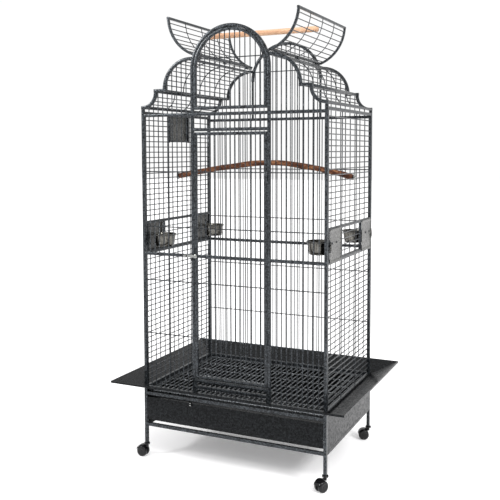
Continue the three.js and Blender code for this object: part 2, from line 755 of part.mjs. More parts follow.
const HINGE = { x: 161, y: -303.4, r: 2.4, hole: 2.75, knuckle: 5.2, zs: [560, 1200], length: 36 };
{
  const bottom = DOOR_BOTTOM_RAIL;
  const top = DOOR_TOP_RAIL;
  const pieces = [
    xRail(-DOOR_EDGE, DOOR_EDGE, -TUBE_Y, bottom),
    xRail(-DOOR_EDGE, DOOR_EDGE, -TUBE_Y, top),
    xRail(-DOOR_IN - EMBED, DOOR_IN + EMBED, -TUBE_Y, MID_RAIL),
  ];
  for (const s of [-1, 1]) {
    pieces.push(box(s * DOOR_IN, s * DOOR_EDGE, -HALF_Y, -POST_IN_Y, bottom, top));
  }
  for (let k = -DOOR_BARS; k <= DOOR_BARS; k++) {
    pieces.push(uprightWire(k * PITCH, -TUBE_Y, bottom, top));
  }
  for (const z of CROSS_WIRES) {
    pieces.push(crossWire(-DOOR_IN - EMBED, DOOR_IN + EMBED, -CROSS_Y, z));
  }
  for (const z of HINGE.zs) {
    pieces.push(
      box(DOOR_IN + 2, HINGE.x - 1, -HALF_Y - 3, -HALF_Y + 1, z - HINGE.length / 2, z + HINGE.length / 2),
      alongZ(roundBar(HINGE.knuckle - 2, HINGE.length), HINGE.x, HINGE.y, z),
    );
  }
  let door = joined(pieces);
  for (const z of HINGE.zs) {
    door = door.subtract(alongZ(roundBar(HINGE.hole - 1, HINGE.length + 4), HINGE.x, HINGE.y, z));
  }
  add("front_door", door, steel);
  for (const [i, z] of HINGE.zs.entries()) {
    const half = HINGE.length / 2;
    const pin = joined([
      alongZ(roundBar(HINGE.r - 1, HINGE.length + 12), HINGE.x, HINGE.y, z),
      ...[z - half - 6.3, z + half + 0.3].map((low) =>
        box(HINGE.x - 1.2, STILE_OUT - 2, HINGE.y - 2, -HALF_Y - GAP, low, low + 6),
      ),
    ]);
    add("door_hinge_" + (i ? "upper" : "lower"), pin, steel);
  }
}

// Stop block on the fixed stile, under the arm of the door's latch.
add(
  "latch_stop",
  box(-STILE_OUT + EMBED, -STILE_IN - EMBED, -HALF_Y - 5.5, -HALF_Y - GAP, 855, 864.4),
  steel,
);

// Turning latch on the door's free stile.
{
  const x = -(DOOR_EDGE + DOOR_IN) / 2;
  const y = -HALF_Y - GAP;
  add(
    "door_latch",
    joined([
      alongY(roundBar(8, 6, 12), x, y - 3, MID_RAIL),
      box(x - 48, x, y - 5, y - 2, MID_RAIL - 5.5, MID_RAIL + 5.5),
      alongY(roundBar(7, 9, 12), x - 46, y - 6.5, MID_RAIL),
    ]),
    bare,
  );
}

// ---- Stand ----

for (const { name, s } of SIDES) {
  for (const [place, t] of [["front", -1], ["back", 1]]) {
    add(
      "leg_" + place + "_" + name,
      box(s * POST_IN_X, s * HALF_X, t * POST_IN_Y, t * HALF_Y, LEG_FOOT, BODY_BASE - GAP),
      steel,
    );
  }
}
add(
  "stand_front_rail",
  xRail(-POST_IN_X + GAP, POST_IN_X - GAP, -TUBE_Y, STAND_TOP - HALF_TUBE),
  steel,
);
add("lower_front_rail", xRail(-POST_IN_X + GAP, POST_IN_X - GAP, -TUBE_Y, LOW_RAIL), steel);

{
  const end = POST_IN_Y - GAP;
  const x1 = HALF_X - 0.5;
  const apron = joined([
    box(POST_IN_X, HALF_X, -end, end, STAND_TOP - TUBE, STAND_TOP),
    box(POST_IN_X, HALF_X, -end, end, LOW_RAIL - HALF_TUBE, LOW_RAIL + HALF_TUBE),
    box(x1 - SHEET, x1, -end, end, LOW_RAIL, STAND_TOP - HALF_TUBE),
    box(LEDGE.x, POST_IN_X + 1, -end + 14, end - 2, STAND_TOP - LEDGE.thick, STAND_TOP),
    box(RUNNER.x, x1 - 1, -end + 14, end - 2, RUNNER.z0, RUNNER.z1),
  ]);
  add("apron_right", apron, sheetSteel);
  add("apron_left", mirroredX(apron), sheetSteel);
  const reach = POST_IN_X - GAP;
  const y1 = HALF_Y - 0.5;
  add(
    "apron_back",
    joined([
      xRail(-reach, reach, TUBE_Y, STAND_TOP - HALF_TUBE),
      xRail(-reach, reach, TUBE_Y, LOW_RAIL),
      box(-reach, reach, y1 - SHEET, y1, LOW_RAIL, STAND_TOP - HALF_TUBE),
    ]),
    sheetSteel,
  );
}

// Seed skirt: a bent strip, mitred at the corners. Its section is drawn outwards and upwards.
function skirt(halfLength) {
  const k = SKIRT;
  const slope = k.rise / k.reach;
  const section = new THREE.Shape(
    [
      [GAP, k.low],
      [GAP + 1.5, k.low],
      [k.reach, k.low + k.rise - 2],
      [k.reach, k.low + k.rise - k.hem],
      [k.reach + 1.5, k.low + k.rise - k.hem],
      [k.reach + 1.5, k.low + k.rise],
      [k.reach, k.low + k.rise],
      [GAP + 1.5, k.low + 1.5 * slope + 2],
      [GAP + 1.5, k.high],
      [GAP, k.high],
    ].map(([u, z]) => new THREE.Vector2(u, z)),
  );
  const geometry = new THREE.ExtrudeGeometry(section, { depth: 2, bevelEnabled: false });
  geometry.translate(0, 0, -1);
  const position = geometry.getAttribute("position");
  for (let i = 0; i < position.count; i++) {
    const u = position.getX(i);
    const z = position.getY(i);
    const side = Math.sign(position.getZ(i));
    position.setXYZ(i, -side * (halfLength + u - GAP), -u, z);
  }
  return geometry;
}

for (const [name, turn, halfLength, out] of [
  ["front", 0, HALF_X, HALF_Y],
  ["right", Math.PI / 2, HALF_Y, HALF_X],
  ["back", Math.PI, HALF_X, HALF_Y],
  ["left", -Math.PI / 2, HALF_Y, HALF_X],
]) {
  const geometry = skirt(halfLength);
  geometry.translate(0, -out, 0);
  geometry.rotateZ(turn);
  add("skirt_" + name, solid(geometry), sheetSteel);
}

// Droppings tray: a pan behind a folded front panel.
{
  const t = TRAY;
  const front = new THREE.Shape(
    [
      [-t.front, t.crease],
      [-t.front + t.tuck, t.low],
      [-t.front + t.tuck + SHEET, t.low],
      [-t.front + SHEET, t.crease],
      [-t.front + SHEET, t.high - SHEET],
      [-t.front + 12, t.high - SHEET],
      [-t.front + 12, t.high],
      [-t.front, t.high],
    ].map(([y, z]) => new THREE.Vector2(y, z)),
  );
  const panel = new THREE.ExtrudeGeometry(front, { depth: 2 * t.half_x, bevelEnabled: false });
  panel.rotateX(Math.PI / 2);
  panel.rotateZ(Math.PI / 2);
  panel.translate(-t.half_x, 0, 0);
  const pan = box(-t.pan_x, t.pan_x, -t.front + 1, t.pan_y, t.pan_z, t.wall).subtract(
    box(
      -t.pan_x + SHEET, t.pan_x - SHEET, -t.front + SHEET + 2, t.pan_y - SHEET,
      t.pan_z + SHEET, t.wall + 10,
    ),
  );
  const c = TRAY_CLIP;
  const clip = box(c.x - c.half, c.x + c.half, -t.front - c.out, -t.front + 1, c.z0, c.z1);
  add("tray", joined([solid(panel), pan, clip]), sheetSteel);
}

// Floor grate over the tray.
{
  const g = GRATE;
  const pieces = [
    box(-g.half_x, g.half_x, -g.half_y, -g.half_y + g.bar, g.z0, g.z1),
    box(-g.half_x, g.half_x, g.half_y - g.bar, g.half_y, g.z0, g.z1),
    box(-g.half_x, -g.half_x + g.bar, -g.half_y, g.half_y, g.z0, g.z1),
    box(g.half_x - g.bar, g.half_x, -g.half_y, g.half_y, g.z0, g.z1),
  ];
  for (let k = -GRATE_WIRES; k <= GRATE_WIRES; k++) {
    pieces.push(depthWire(k * PITCH, -g.half_y + g.bar - 2, g.half_y - g.bar + 2, g.wire_z + 0.4));
  }
  for (const y of GRATE_RIBS) {
    pieces.push(
      box(-g.half_x + 2, g.half_x - 2, y - HALF_WIRE, y + HALF_WIRE, g.z0 + 0.1, g.wire_z - HALF_WIRE),
    );
  }
  add("grate", joined(pieces), steel);
}

// ---- Perches ----

add(
  "top_perch",
  alongX(roundBar(TOP_PERCH.r, 2 * TOP_PERCH.half, 14), 0, 0, TOP_PERCH.z),
  paleWood,
);

{
  const p = INNER_PERCH;
  const path = new THREE.CatmullRomCurve3([
    new THREE.Vector3(-p.end_x, p.y0, p.z),
    new THREE.Vector3(-200, 6, p.z + 34),
    new THREE.Vector3(40, 12, p.high),
    new THREE.Vector3(240, 30, p.z + 36),
    new THREE.Vector3(p.end_x, p.y1, p.z),
  ]);
  const section = new THREE.Shape();
  for (let i = 0; i < 10; i++) {
    const a = (i / 10) * 2 * Math.PI;
    section[i ? "lineTo" : "moveTo"](p.r * Math.cos(a), p.r * Math.sin(a));
  }
  const branch = solid(
    new THREE.ExtrudeGeometry(section, { steps: 14, extrudePath: path, bevelEnabled: false }),
  );
  const room = box(-p.end_x, p.end_x, -HALF_Y, HALF_Y, 0, 2 * p.z);
  add("inner_perch", branch.intersect(room), redWood);
  const b = PERCH_BOLT;
  const washerX = TUBE_X + HALF_WIRE + GAP;
  for (const { name, s } of SIDES) {
    const y = s < 0 ? p.y0 : p.y1;
    const bolt = joined([
      alongX(roundBar(b.washer_r, b.washer, 14), washerX + b.washer / 2, y, p.z),
      alongX(roundBar(b.shaft_r, washerX + 9 - p.end_x - GAP), (washerX + 9 + p.end_x + GAP) / 2, y, p.z),
      box(washerX + 1, washerX + 6, y - b.wing / 2, y + b.wing / 2, p.z - b.wing_high / 2, p.z + b.wing_high / 2),
    ]);
    add("perch_bolt_" + name, s > 0 ? bolt : mirroredX(bolt), bare);
  }
}

// ---- Casters ----

const CASTER_TURNS = {
  front_left: 180,
  front_right: 240,
  back_left: 165,
  back_right: 200,
};

function casterWheel() {
  const w = WHEEL;
  const half = [
    [w.hub, w.inner],
    [w.r, w.inner],
    [w.r, w.face],
    [w.shoulder, w.side],
    [0, w.side],
  ];
  const profile = [
    ...half.slice().reverse().map(([r, h]) => new THREE.Vector2(r, -h)),
    ...half.map(([r, h]) => new THREE.Vector2(r, h)),
  ];
  return solid(new THREE.LatheGeometry(profile, WHEEL_SIDES).rotateY(WHEEL_TURN));
}

function casterHood() {
  const c = CASTER;
  const top = LEG_FOOT - GAP;
  const centre = WHEEL_Z;
  const stem = alongZ(roundBar(6, top - 43, 8), 0, 0, (top + 43) / 2);
  const collar = alongZ(roundBar(c.collar_r, c.collar, 10), 0, 0, top - c.collar / 2);
  const web = joined([
    box(c.trail - 9, c.trail + 9, -c.web, c.web, centre - 9, centre + 26),
    box(-6, c.trail, -c.web, c.web, 40, 51),
  ]);
  const start = THREE.MathUtils.degToRad(48);
  const end = THREE.MathUtils.degToRad(165);
  const shell = ringSector(c.trail, centre, c.hood_in, c.hood_out, Math.PI - end, Math.PI - start, -16, 16, 6);
  const bore = alongY(roundBar(WHEEL.hub + 0.5, 20), c.trail, 0, centre);
  return joined([stem, collar, web, shell]).subtract(bore);
}

for (const [place, degrees] of Object.entries(CASTER_TURNS)) {
  const x = (place.endsWith("left") ? -1 : 1) * TUBE_X;
  const y = (place.startsWith("front") ? -1 : 1) * TUBE_Y;
  const wheel = casterWheel()
    .translate([CASTER.trail, 0, WHEEL_Z])
    .rotate([0, 0, degrees])
    .translate([x, y, 0]);
  const hood = casterHood().rotate([0, 0, degrees]).translate([x, y, 0]);
  add("caster_wheel_" + place, wheel, blackPlastic);
  add("caster_hood_" + place, hood, blackPlastic);
}

export default cage;
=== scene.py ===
import json
import math
import random

import bpy
from mathutils import Matrix, Vector


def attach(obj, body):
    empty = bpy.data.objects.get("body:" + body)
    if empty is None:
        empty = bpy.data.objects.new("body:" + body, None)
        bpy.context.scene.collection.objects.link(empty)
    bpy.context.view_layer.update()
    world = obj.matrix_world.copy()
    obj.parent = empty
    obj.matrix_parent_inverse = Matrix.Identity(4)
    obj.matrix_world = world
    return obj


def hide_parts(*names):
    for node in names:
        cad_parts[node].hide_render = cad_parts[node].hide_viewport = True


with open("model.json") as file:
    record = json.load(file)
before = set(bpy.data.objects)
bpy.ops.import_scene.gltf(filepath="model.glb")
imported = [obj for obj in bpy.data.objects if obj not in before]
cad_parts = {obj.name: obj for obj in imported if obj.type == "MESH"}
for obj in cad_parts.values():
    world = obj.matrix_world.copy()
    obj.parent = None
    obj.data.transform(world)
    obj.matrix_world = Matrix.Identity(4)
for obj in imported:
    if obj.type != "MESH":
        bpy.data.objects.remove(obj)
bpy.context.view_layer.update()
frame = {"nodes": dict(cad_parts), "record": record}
MM = 0.001
random.seed(7)

# Stock and layout, as in the CAD model.
TUBE, WIRE, PITCH, SHEET, GAP = 12.7, 3.2, 22.0, 2.0, 0.3
HT = TUBE / 2
HALF_X, HALF_Y = 406.5, 300.0
POST_X, POST_Y = HALF_X - HT, HALF_Y - HT
POST_IN_X, POST_IN_Y = HALF_X - TUBE, HALF_Y - TUBE
CROSS_Y = POST_Y - WIRE - GAP
SIDE_CROSS_X = POST_X - WIRE - GAP
BASE, MID, TOP, SIDE_TOP, POST_TOP = 296.3, 874.5, 1447.0, 1458.0, 1474.3
CROSS = (537.0, 763.5, 988.0, 1216.0)
STILE_OUT, STILE_IN = 174.0, 161.3
STILE = (STILE_OUT + STILE_IN) / 2
DOOR_EDGE = STILE_IN - 2 * GAP
DOOR_IN = DOOR_EDGE - TUBE
DOOR_STILE = (DOOR_EDGE + DOOR_IN) / 2
DOOR_BARS = range(-6, 7)
SILL_RAILS = (302.65, 334.0, 360.0)
DOOR_BOTTOM, DOOR_TOP, HEADER = 375.0, 1369.0, 1385.5
ARCH_Z, ARCH_WIRE, WINDOW_RAIL = 1623.0, 1666.0, 1471.0
CONVEX = (175.0, 1548.0, 122.0)
CONCAVE = (399.0, 1541.0, 60.0)
STEP_Z, STEP_IN, STEP_OUT = 1548.0, 290.65, 345.35
ROOF_HALF_Y = POST_IN_Y - GAP
ROOF_RIBS = (-143.0, 0.0, 143.0)
FLAP_HALF_Y, FLAP_IN, FLAP_OUT = 286.0, 164.0, 174.0
FLAP_ARC = (math.radians(18.8), math.radians(89.8))
FLAP_OPEN = math.radians(91)
FLAP_AXIS = (167.6, 1679.3)
BAND_LOW, BAND_TOP = MID + HT + GAP, 1004.0
NEST_Y, NEST_Z = 82.0, (1340.0, 1452.0)
FEEDERS = {"front": (-271.0, -137.0, -1), "back": (146.0, 280.0, 1)}
CUP_X, CUP_ALONG, CUP_RIM, CUP_FOOT, CUP_Z, RING_Z = 345.0, 50.5, 48.5, 38.0, 900.0, 950.0
TRAIL, WHEEL_Z = 20.0, 24 * math.cos(math.pi / 12)
CASTER_TURNS = {"front_left": 180, "front_right": 240, "back_left": 165, "back_right": 200}

# Drawn here only: the CAD model has another value, or none.
WIRE_R = 2.2  # thicker than WIRE, by the look of the photo
# A weld widens a wire by these factors: inside the rail, at its face, and just clear of it.
WELD_ROOT, WELD_TOE, WELD_NECK = 1.5, 1.65, 1.3
PLAIN = (False, False)  # no weld at either end
SHORT_WIRE = 8  # a wire with less than this between its rails has no welds
INNER = TUBE - 0.2  # a tube that runs into another is thinner, so that no faces coincide
BACK_STILE = 7.5  # width of the back crown's uprights
PACKING_Z = (285.0, 295.9)
WHEEL_R = 23.15

# Places and sizes of single pieces.
PIN_X = HALF_X + 3.8  # axis of the hinges on the cage's sides
PLATE_Z, FEEDER_HINGE_Z = (873, 1002), 937
BRACKET_ALONG = 26  # brackets and screws, from the middle of their cup
GRATE_X, GRATE_Y, GRATE_BAR, GRATE_Z = 392, 286, 6, (284.9, 294)
GRATE_ROWS = (-190, -95, 0, 95, 190)
DOOR_HINGES = {"lower": 560, "upper": 1200}
TOP_PERCH_Z, TOP_PERCH_HALF, TOP_PERCH_R = 1798, 260, 12
BRANCH_Z, BRANCH_HALF, BRANCH_BACK = 1191, 396.7, 50
CASTER_TOP, HOOD_STEPS = 61.4, 22
HOOD_START, HOOD_SWEEP = math.pi - math.radians(165), math.radians(165 - 48)

X, Y, Z = Vector((1, 0, 0)), Vector((0, 1, 0)), Vector((0, 0, 1))
SIDES = (("left", -1), ("right", 1))


# ---- Materials ----

class Nodes:
    """A material with short calls for its nodes and links."""

    def __init__(self, name):
        self.mat = bpy.data.materials.new(name)
        self.mat.use_nodes = True
        self.tree = self.mat.node_tree
        self.bsdf = self.tree.nodes["Principled BSDF"]
        coord = self.tree.nodes.new("ShaderNodeTexCoord")
        self.place = coord.outputs["Object"]

    def new(self, kind, inputs=(), **props):
        node = self.tree.nodes.new(kind)
        for key, value in props.items():
            setattr(node, key, value)
        for key, value in dict(inputs).items():
            if isinstance(value, bpy.types.NodeSocket):
                self.tree.links.new(value, node.inputs[key])
            else:
                node.inputs[key].default_value = value
        return node

    def noise(self, scale, detail=2.0, rough=0.5, vector=None):
        node = self.new("ShaderNodeTexNoise", {
            "Vector": vector or self.place, "Scale": scale, "Detail": detail, "Roughness": rough})
        return node.outputs["Fac"]

    def ramp(self, fac, *stops):
        node = self.new("ShaderNodeValToRGB", {"Fac": fac})
        band = node.color_ramp
        while len(band.elements) < len(stops):
            band.elements.new(0.5)
        for element, (at, colour) in zip(band.elements, stops):
            element.position = at
            element.color = (*colour, 1)
        return node.outputs["Color"]

    def range(self, fac, low, high, a=0.0, b=1.0):
        node = self.new("ShaderNodeMapRange", {
            "Value": fac, "From Min": a, "From Max": b, "To Min": low, "To Max": high})
        return node.outputs["Result"]

    def mix(self, fac, a, b, blend="MIX"):
        node = self.new("ShaderNodeMix", data_type="RGBA", blend_type=blend)
        for at, value in ((0, fac), (6, a), (7, b)):
            if isinstance(value, bpy.types.NodeSocket):
                self.tree.links.new(value, node.inputs[at])
            else:
                node.inputs[at].default_value = value if at == 0 else (*value, 1)
        return node.outputs[2]

    def bump(self, height, strength, distance):
        node = self.new("ShaderNodeBump", {
            "Height": height, "Strength": strength, "Distance": distance})
        self.link("Normal", node.outputs["Normal"])

    def link(self, socket, value):
        if isinstance(value, bpy.types.NodeSocket):
            self.tree.links.new(value, self.bsdf.inputs[socket])
        else:
            self.bsdf.inputs[socket].default_value = value


def powder_coat(name, dark, light, metal, grain, gloss=1.0):
    """Hammered silver-vein powder coat: pale pebbles with darker veins between them."""
    m = Nodes(name)
    pebbles = m.new("ShaderNodeTexVoronoi", {
        "Vector": m.place, "Scale": grain, "Randomness": 1.0}, feature="F1").outputs["Distance"]
    wander = m.noise(grain * 0.7, 5, 0.65)
    mottle = m.noise(grain * 0.32, 3, 0.6)
    broad = m.noise(7, 3)
    veins = m.mix(m.range(wander, 0, 1, 0.4, 0.62), dark, light)
    cells = m.ramp(pebbles, (0.2, (1, 1, 1)), (0.75, (0.5, 0.52, 0.54)))
    colour = m.mix(0.8, veins, cells, "MULTIPLY")
    spots = m.ramp(mottle, (0.36, (0.35, 0.36, 0.37)), (0.5, (0.9, 0.9, 0.9)), (0.66, (1, 1, 1)))
    colour = m.mix(0.9, colour, spots, "MULTIPLY")
    patchy = m.ramp(broad, (0.3, (0.78, 0.79, 0.8)), (0.7, (1, 1, 1)))
    m.link("Base Color", m.mix(1.0, colour, patchy, "MULTIPLY"))
    m.link("Metallic", metal)
    m.link("Roughness", m.range(mottle, 0.2, 0.46, 0.38, 0.66))
    m.link("Specular IOR Level", 0.2 * gloss)
    m.link("Coat Weight", 0.14 * gloss)
    m.link("Coat Roughness", 0.12)
    m.bump(m.mix(0.5, pebbles, wander), 0.5, 0.0008)
    return m.mat


def bright_steel(name, dark, light):
    """Bare steel with fine level lines in its shine."""
    m = Nodes(name)
    stretched = m.new("ShaderNodeMapping", {"Vector": m.place, "Scale": (60, 60, 900)}).outputs[0]
    lines = m.noise(1.0, 3, 0.6, stretched)
    cloud = m.noise(40, 3)
    m.link("Base Color", m.ramp(cloud, (0.3, dark), (0.7, light)))
    m.link("Metallic", 1.0)
    m.link("Roughness", m.range(lines, 0.08, 0.24, 0.3, 0.7))
    m.bump(lines, 0.15, 0.0003)
    return m.mat


def wood(name, dark, mid, light, pores, gloss, along):
    """Wood with its grain along X, darker pores and broad changes of shade."""
    m = Nodes(name)
    drawn = m.new("ShaderNodeMapping", {"Vector": m.place, "Scale": (along, 42, 42)}).outputs[0]
    grain = m.noise(1.6, 5, 0.62, drawn)
    fine = m.noise(9.0, 4, 0.7, drawn)
    blotch = m.noise(7, 2)
    colour = m.ramp(grain, (0.28, dark), (0.5, mid), (0.72, light))
    lines = m.ramp(fine, (0.36, pores), (0.52, (1, 1, 1)))
    shade = m.ramp(blotch, (0.3, (0.84, 0.82, 0.8)), (0.7, (1, 1, 1)))
    m.link("Base Color", m.mix(1.0, m.mix(0.6, colour, lines, "MULTIPLY"), shade, "MULTIPLY"))
    m.link("Roughness", m.range(fine, gloss, gloss + 0.22, 0.3, 0.7))
    m.link("Specular IOR Level", 0.2)
    m.bump(m.mix(0.5, grain, fine), 0.35, 0.0012)
    return m.mat


def plastic(name):
    """Glossy black plastic with a little dust."""
    m = Nodes(name)
    fine = m.noise(900, 2)
    dust = m.noise(30, 5, 0.7)
    m.link("Base Color", m.ramp(dust, (0.45, (0.002, 0.002, 0.0025)), (0.8, (0.014, 0.014, 0.015))))
    m.link("Roughness", m.range(dust, 0.09, 0.26, 0.4, 0.75))
    m.link("Specular IOR Level", 0.2)
    m.link("Coat Weight", 0.15)
    m.link("Coat Roughness", 0.05)
    m.bump(fine, 0.08, 0.0002)
    return m.mat


MATERIALS = {
    "frame_steel": powder_coat("frame coat", (0.004, 0.005, 0.006), (0.10, 0.11, 0.12), 0.55, 330),
    "sheet_steel": powder_coat("sheet coat", (0.002, 0.0025, 0.003), (0.024, 0.026, 0.028),
                               0.4, 240, 0.4),
    # The grate coat is a much lighter copy of the frame coat: its pale colour is painted highlight
    # on the grate wires.
    "grate": powder_coat("grate coat painted highlight", (0.05, 0.053, 0.056), (0.55, 0.57, 0.59), 0.85, 330),
    "plate": powder_coat("plate coat", (0.035, 0.034, 0.031), (0.21, 0.205, 0.19), 0.4, 260),
    "bright_steel": bright_steel("bright steel", (0.17, 0.175, 0.17), (0.36, 0.365, 0.355)),
    # The cup steel is a darker copy of the bright steel: its dark colour is painted dark reflection
    # in the seed cups.
    "cup": bright_steel("cup steel painted dark reflection", (0.05, 0.048, 0.043), (0.17, 0.165, 0.15)),
    "pale_wood": wood("pale dowel", (0.42, 0.235, 0.14), (0.60, 0.37, 0.235), (0.72, 0.49, 0.335),
                      (0.72, 0.6, 0.5), 0.42, 2.2),
    "red_wood": wood("red branch", (0.012, 0.005, 0.003), (0.10, 0.034, 0.015), (0.36, 0.17, 0.075),
                     (0.3, 0.22, 0.17), 0.5, 20),
    "black_plastic": plastic("black plastic"),
}


# ---- Mesh making ----

def rounded(w, h, r=1.5, steps=2):
    """A rectangle with rounded corners, counter-clockwise."""
    points = []
    for sx, sy, start in ((1, 1, 0), (-1, 1, 90), (-1, -1, 180), (1, -1, 270)):
        for i in range(steps + 1):
            a = math.radians(start + 90 * i / steps)
            points.append((sx * (w / 2 - r) + r * math.cos(a), sy * (h / 2 - r) + r * math.sin(a)))
    return points


def circle(r, n=8):
    return [(r * math.cos(2 * math.pi * i / n), r * math.sin(2 * math.pi * i / n))
            for i in range(n)]


def outward(a):
    """The direction at an angle in the XZ plane."""
    return Vector((math.cos(a), 0, math.sin(a)))


def across(axis):
    """Two directions at right angles to an axis and to each other."""
    u = X if abs(axis.dot(X)) < 0.9 else Y
    return u, axis.cross(u)


class Maker:
    """Collects closed shapes into one mesh."""

    def __init__(self):
        self.verts, self.faces = [], []

    def rings(self, rings, closed=False):
        """Joins rings of points with faces, and caps the ends unless they close on themselves."""
        start, n = len(self.verts), len(rings[0])
        for ring in rings:
            self.verts.extend(Vector(p) * MM for p in ring)
        last = len(rings) if closed else len(rings) - 1
        for j in range(last):
            a, b = start + j * n, start + (j + 1) % len(rings) * n
            for i in range(n):
                k = (i + 1) % n
                self.faces.append((a + i, a + k, b + k, b + i))
        if not closed:
            end = start + (len(rings) - 1) * n
            self.faces.append(tuple(start + i for i in reversed(range(n))))
            self.faces.append(tuple(end + i for i in range(n)))

    def sweep(self, path, section, up, scales=None):
        """Moves a section along a path. Its second coordinate lies along `up`."""
        path = [Vector(p) for p in path]
        rings = []
        for j, p in enumerate(path):
            a = (p - path[j - 1]).normalized() if j else (path[1] - p).normalized()
            b = (path[j + 1] - p).normalized() if j + 1 < len(path) else a
            ahead = (a + b).normalized()
            wide = 1 / max(ahead.dot(b), 0.5)
            side = up.cross(ahead).normalized()
            rise = ahead.cross(side)
            k = scales[j] if scales else 1
            rings.append([p + side * (-u * wide * k) + rise * (v * k) for u, v in section])
        self.rings([list(reversed(ring)) for ring in rings])

    def tube(self, p0, p1, w=TUBE, h=TUBE, r=2.1):
        """A straight tube with soft corners and plain ends."""
        p0, p1 = Vector(p0), Vector(p1)
        along = (p1 - p0).normalized()
        up = Y if abs(along.dot(Y)) < 0.9 else Z
        self.sweep([p0, p1], rounded(w, h, min(r, w / 2.2, h / 2.2)), up)

    def box(self, x0, x1, y0, y1, z0, z1, r=0.5):
        """A block with rounded long edges, and a small ease at both ends."""
        lo = Vector((min(x0, x1), min(y0, y1), min(z0, z1)))
        hi = Vector((max(x0, x1), max(y0, y1), max(z0, z1)))
        size, mid = hi - lo, (hi + lo) / 2
        axis = max(range(3), key=lambda i: size[i])
        along = Vector([float(i == axis) for i in range(3)])
        up = Z if axis != 2 else Y
        side = up.cross(along)
        w = abs(size.dot(Vector([abs(c) for c in side])))
        h = size.dot(up)
        length = size[axis]
        r = min(r, w / 2.3, h / 2.3, length / 4)
        big = rounded(w, h, r)
        cut = r * 0.8
        scales = [1 - 2 * cut / max(w, h), 1, 1, 1 - 2 * cut / max(w, h)]
        path = [mid + along * t
                for t in (-length / 2, -length / 2 + cut, length / 2 - cut, length / 2)]
        self.sweep(path, big, up, scales)

    def wire(self, p0, p1, flare=(True, True), inset=HT):
        """A round wire between rails, with a weld fillet where it leaves each rail."""
        p0, p1 = Vector(p0), Vector(p1)
        length = (p1 - p0).length
        along = (p1 - p0) / length
        toe = max(inset - 0.4, 0.05)
        start, end = [(0.0, 1.0)], [(length, 1.0)]
        if length >= 2 * inset + SHORT_WIRE:
            if flare[0]:
                start = [(0.0, WELD_ROOT), (toe, WELD_TOE), (inset + 0.7, WELD_NECK),
                         (inset + 2.0, 1.0)]
            if flare[1]:
                end = [(length - inset - 2.0, 1.0), (length - inset - 0.7, WELD_NECK),
                       (length - toe, WELD_TOE), (length, WELD_ROOT)]
        stations = start + end
        up = Y if abs(along.dot(Y)) < 0.9 else Z
        self.sweep([p0 + along * t for t, _ in stations], circle(WIRE_R), up,
                   [k for _, k in stations])

    def lump(self, p, r=2.3, flat=0.75, axis=Y):
        """A spot weld between two crossing wires."""
        p = Vector(p)
        up = Z if abs(axis.dot(Z)) < 0.9 else X
        k = 1 + random.uniform(-0.12, 0.12)
        path = [p + axis * (r * flat * t) for t in (-1, -0.55, 0.55, 1)]
        self.sweep(path, circle(r * k, 6), up, [0.35, 0.9, 0.9, 0.35])

    def arc(self, cx, cz, r, a0, a1, y, w=TUBE, h=TUBE, steps=14, ease=2.1):
        """A bent tube in a plane of constant Y: w is across the bend, h along Y."""
        path = []
        for i in range(steps + 1):
            a = a0 + (a1 - a0) * i / steps
            path.append((cx + r * math.cos(a), y, cz + r * math.sin(a)))
        self.sweep(path, rounded(w, h, min(ease, w / 2.2, h / 2.2)), Y)

    def arc_wire(self, cx, cz, r, a0, a1, y, steps=14, thick=WIRE_R):
        path = [(cx + r * math.cos(a0 + (a1 - a0) * i / steps), y,
                 cz + r * math.sin(a0 + (a1 - a0) * i / steps)) for i in range(steps + 1)]
        self.sweep(path, circle(thick), Y)

    def lathe(self, profile, centre, axis=Z, n=40):
        """Turns a closed (radius, height) profile about an axis."""
        centre = Vector(centre)
        u, v = across(axis)
        rings = []
        for i in range(n):
            a = 2 * math.pi * i / n
            out = u * math.cos(a) + v * math.sin(a)
            rings.append([centre + out * r + axis * h for r, h in profile])
        self.rings(rings, closed=True)

    def turned(self, profile, centre, axis=Z, n=24):
        """A solid of revolution from stacked circles, capped at both ends."""
        centre = Vector(centre)
        u, v = across(axis)
        rings = []
        for r, h in profile:
            rings.append([centre + (u * math.cos(2 * math.pi * i / n)
                                    + v * math.sin(2 * math.pi * i / n)) * r + axis * h
                          for i in range(n)])
        self.rings(rings)

    def mirror(self):
        self.verts = [Vector((-v.x, v.y, v.z)) for v in self.verts]
        self.faces = [tuple(reversed(f)) for f in self.faces]

    def turn(self, matrix):
        self.verts = [matrix @ v for v in self.verts]

    def make(self, name, body, slot, replaces=(), sharp=42, look=None):
        mesh = bpy.data.meshes.new(name)
        mesh.from_pydata(self.verts, [], self.faces)
        mesh.validate()
        mesh.polygons.foreach_set("use_smooth", [True] * len(mesh.polygons))
        mesh.set_sharp_from_angle(angle=math.radians(sharp))
        mesh.materials.append(MATERIALS[look or slot])
        mesh.update()
        piece = bpy.data.objects.new(name, mesh)
        bpy.context.scene.collection.objects.link(piece)
        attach(piece, body)
        if replaces:
            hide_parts(*replaces)
        return piece


def pair(name, body, slot, node, build):
    """Builds a piece for each side as if on the right, and mirrors the left one."""
    for side, s in SIDES:
        m = Maker()
        build(m, s)
        if s < 0:
            m.mirror()
        m.make(name.format(side), body.format(side), slot, [node.format(side)])


# ---- Flat panels ----

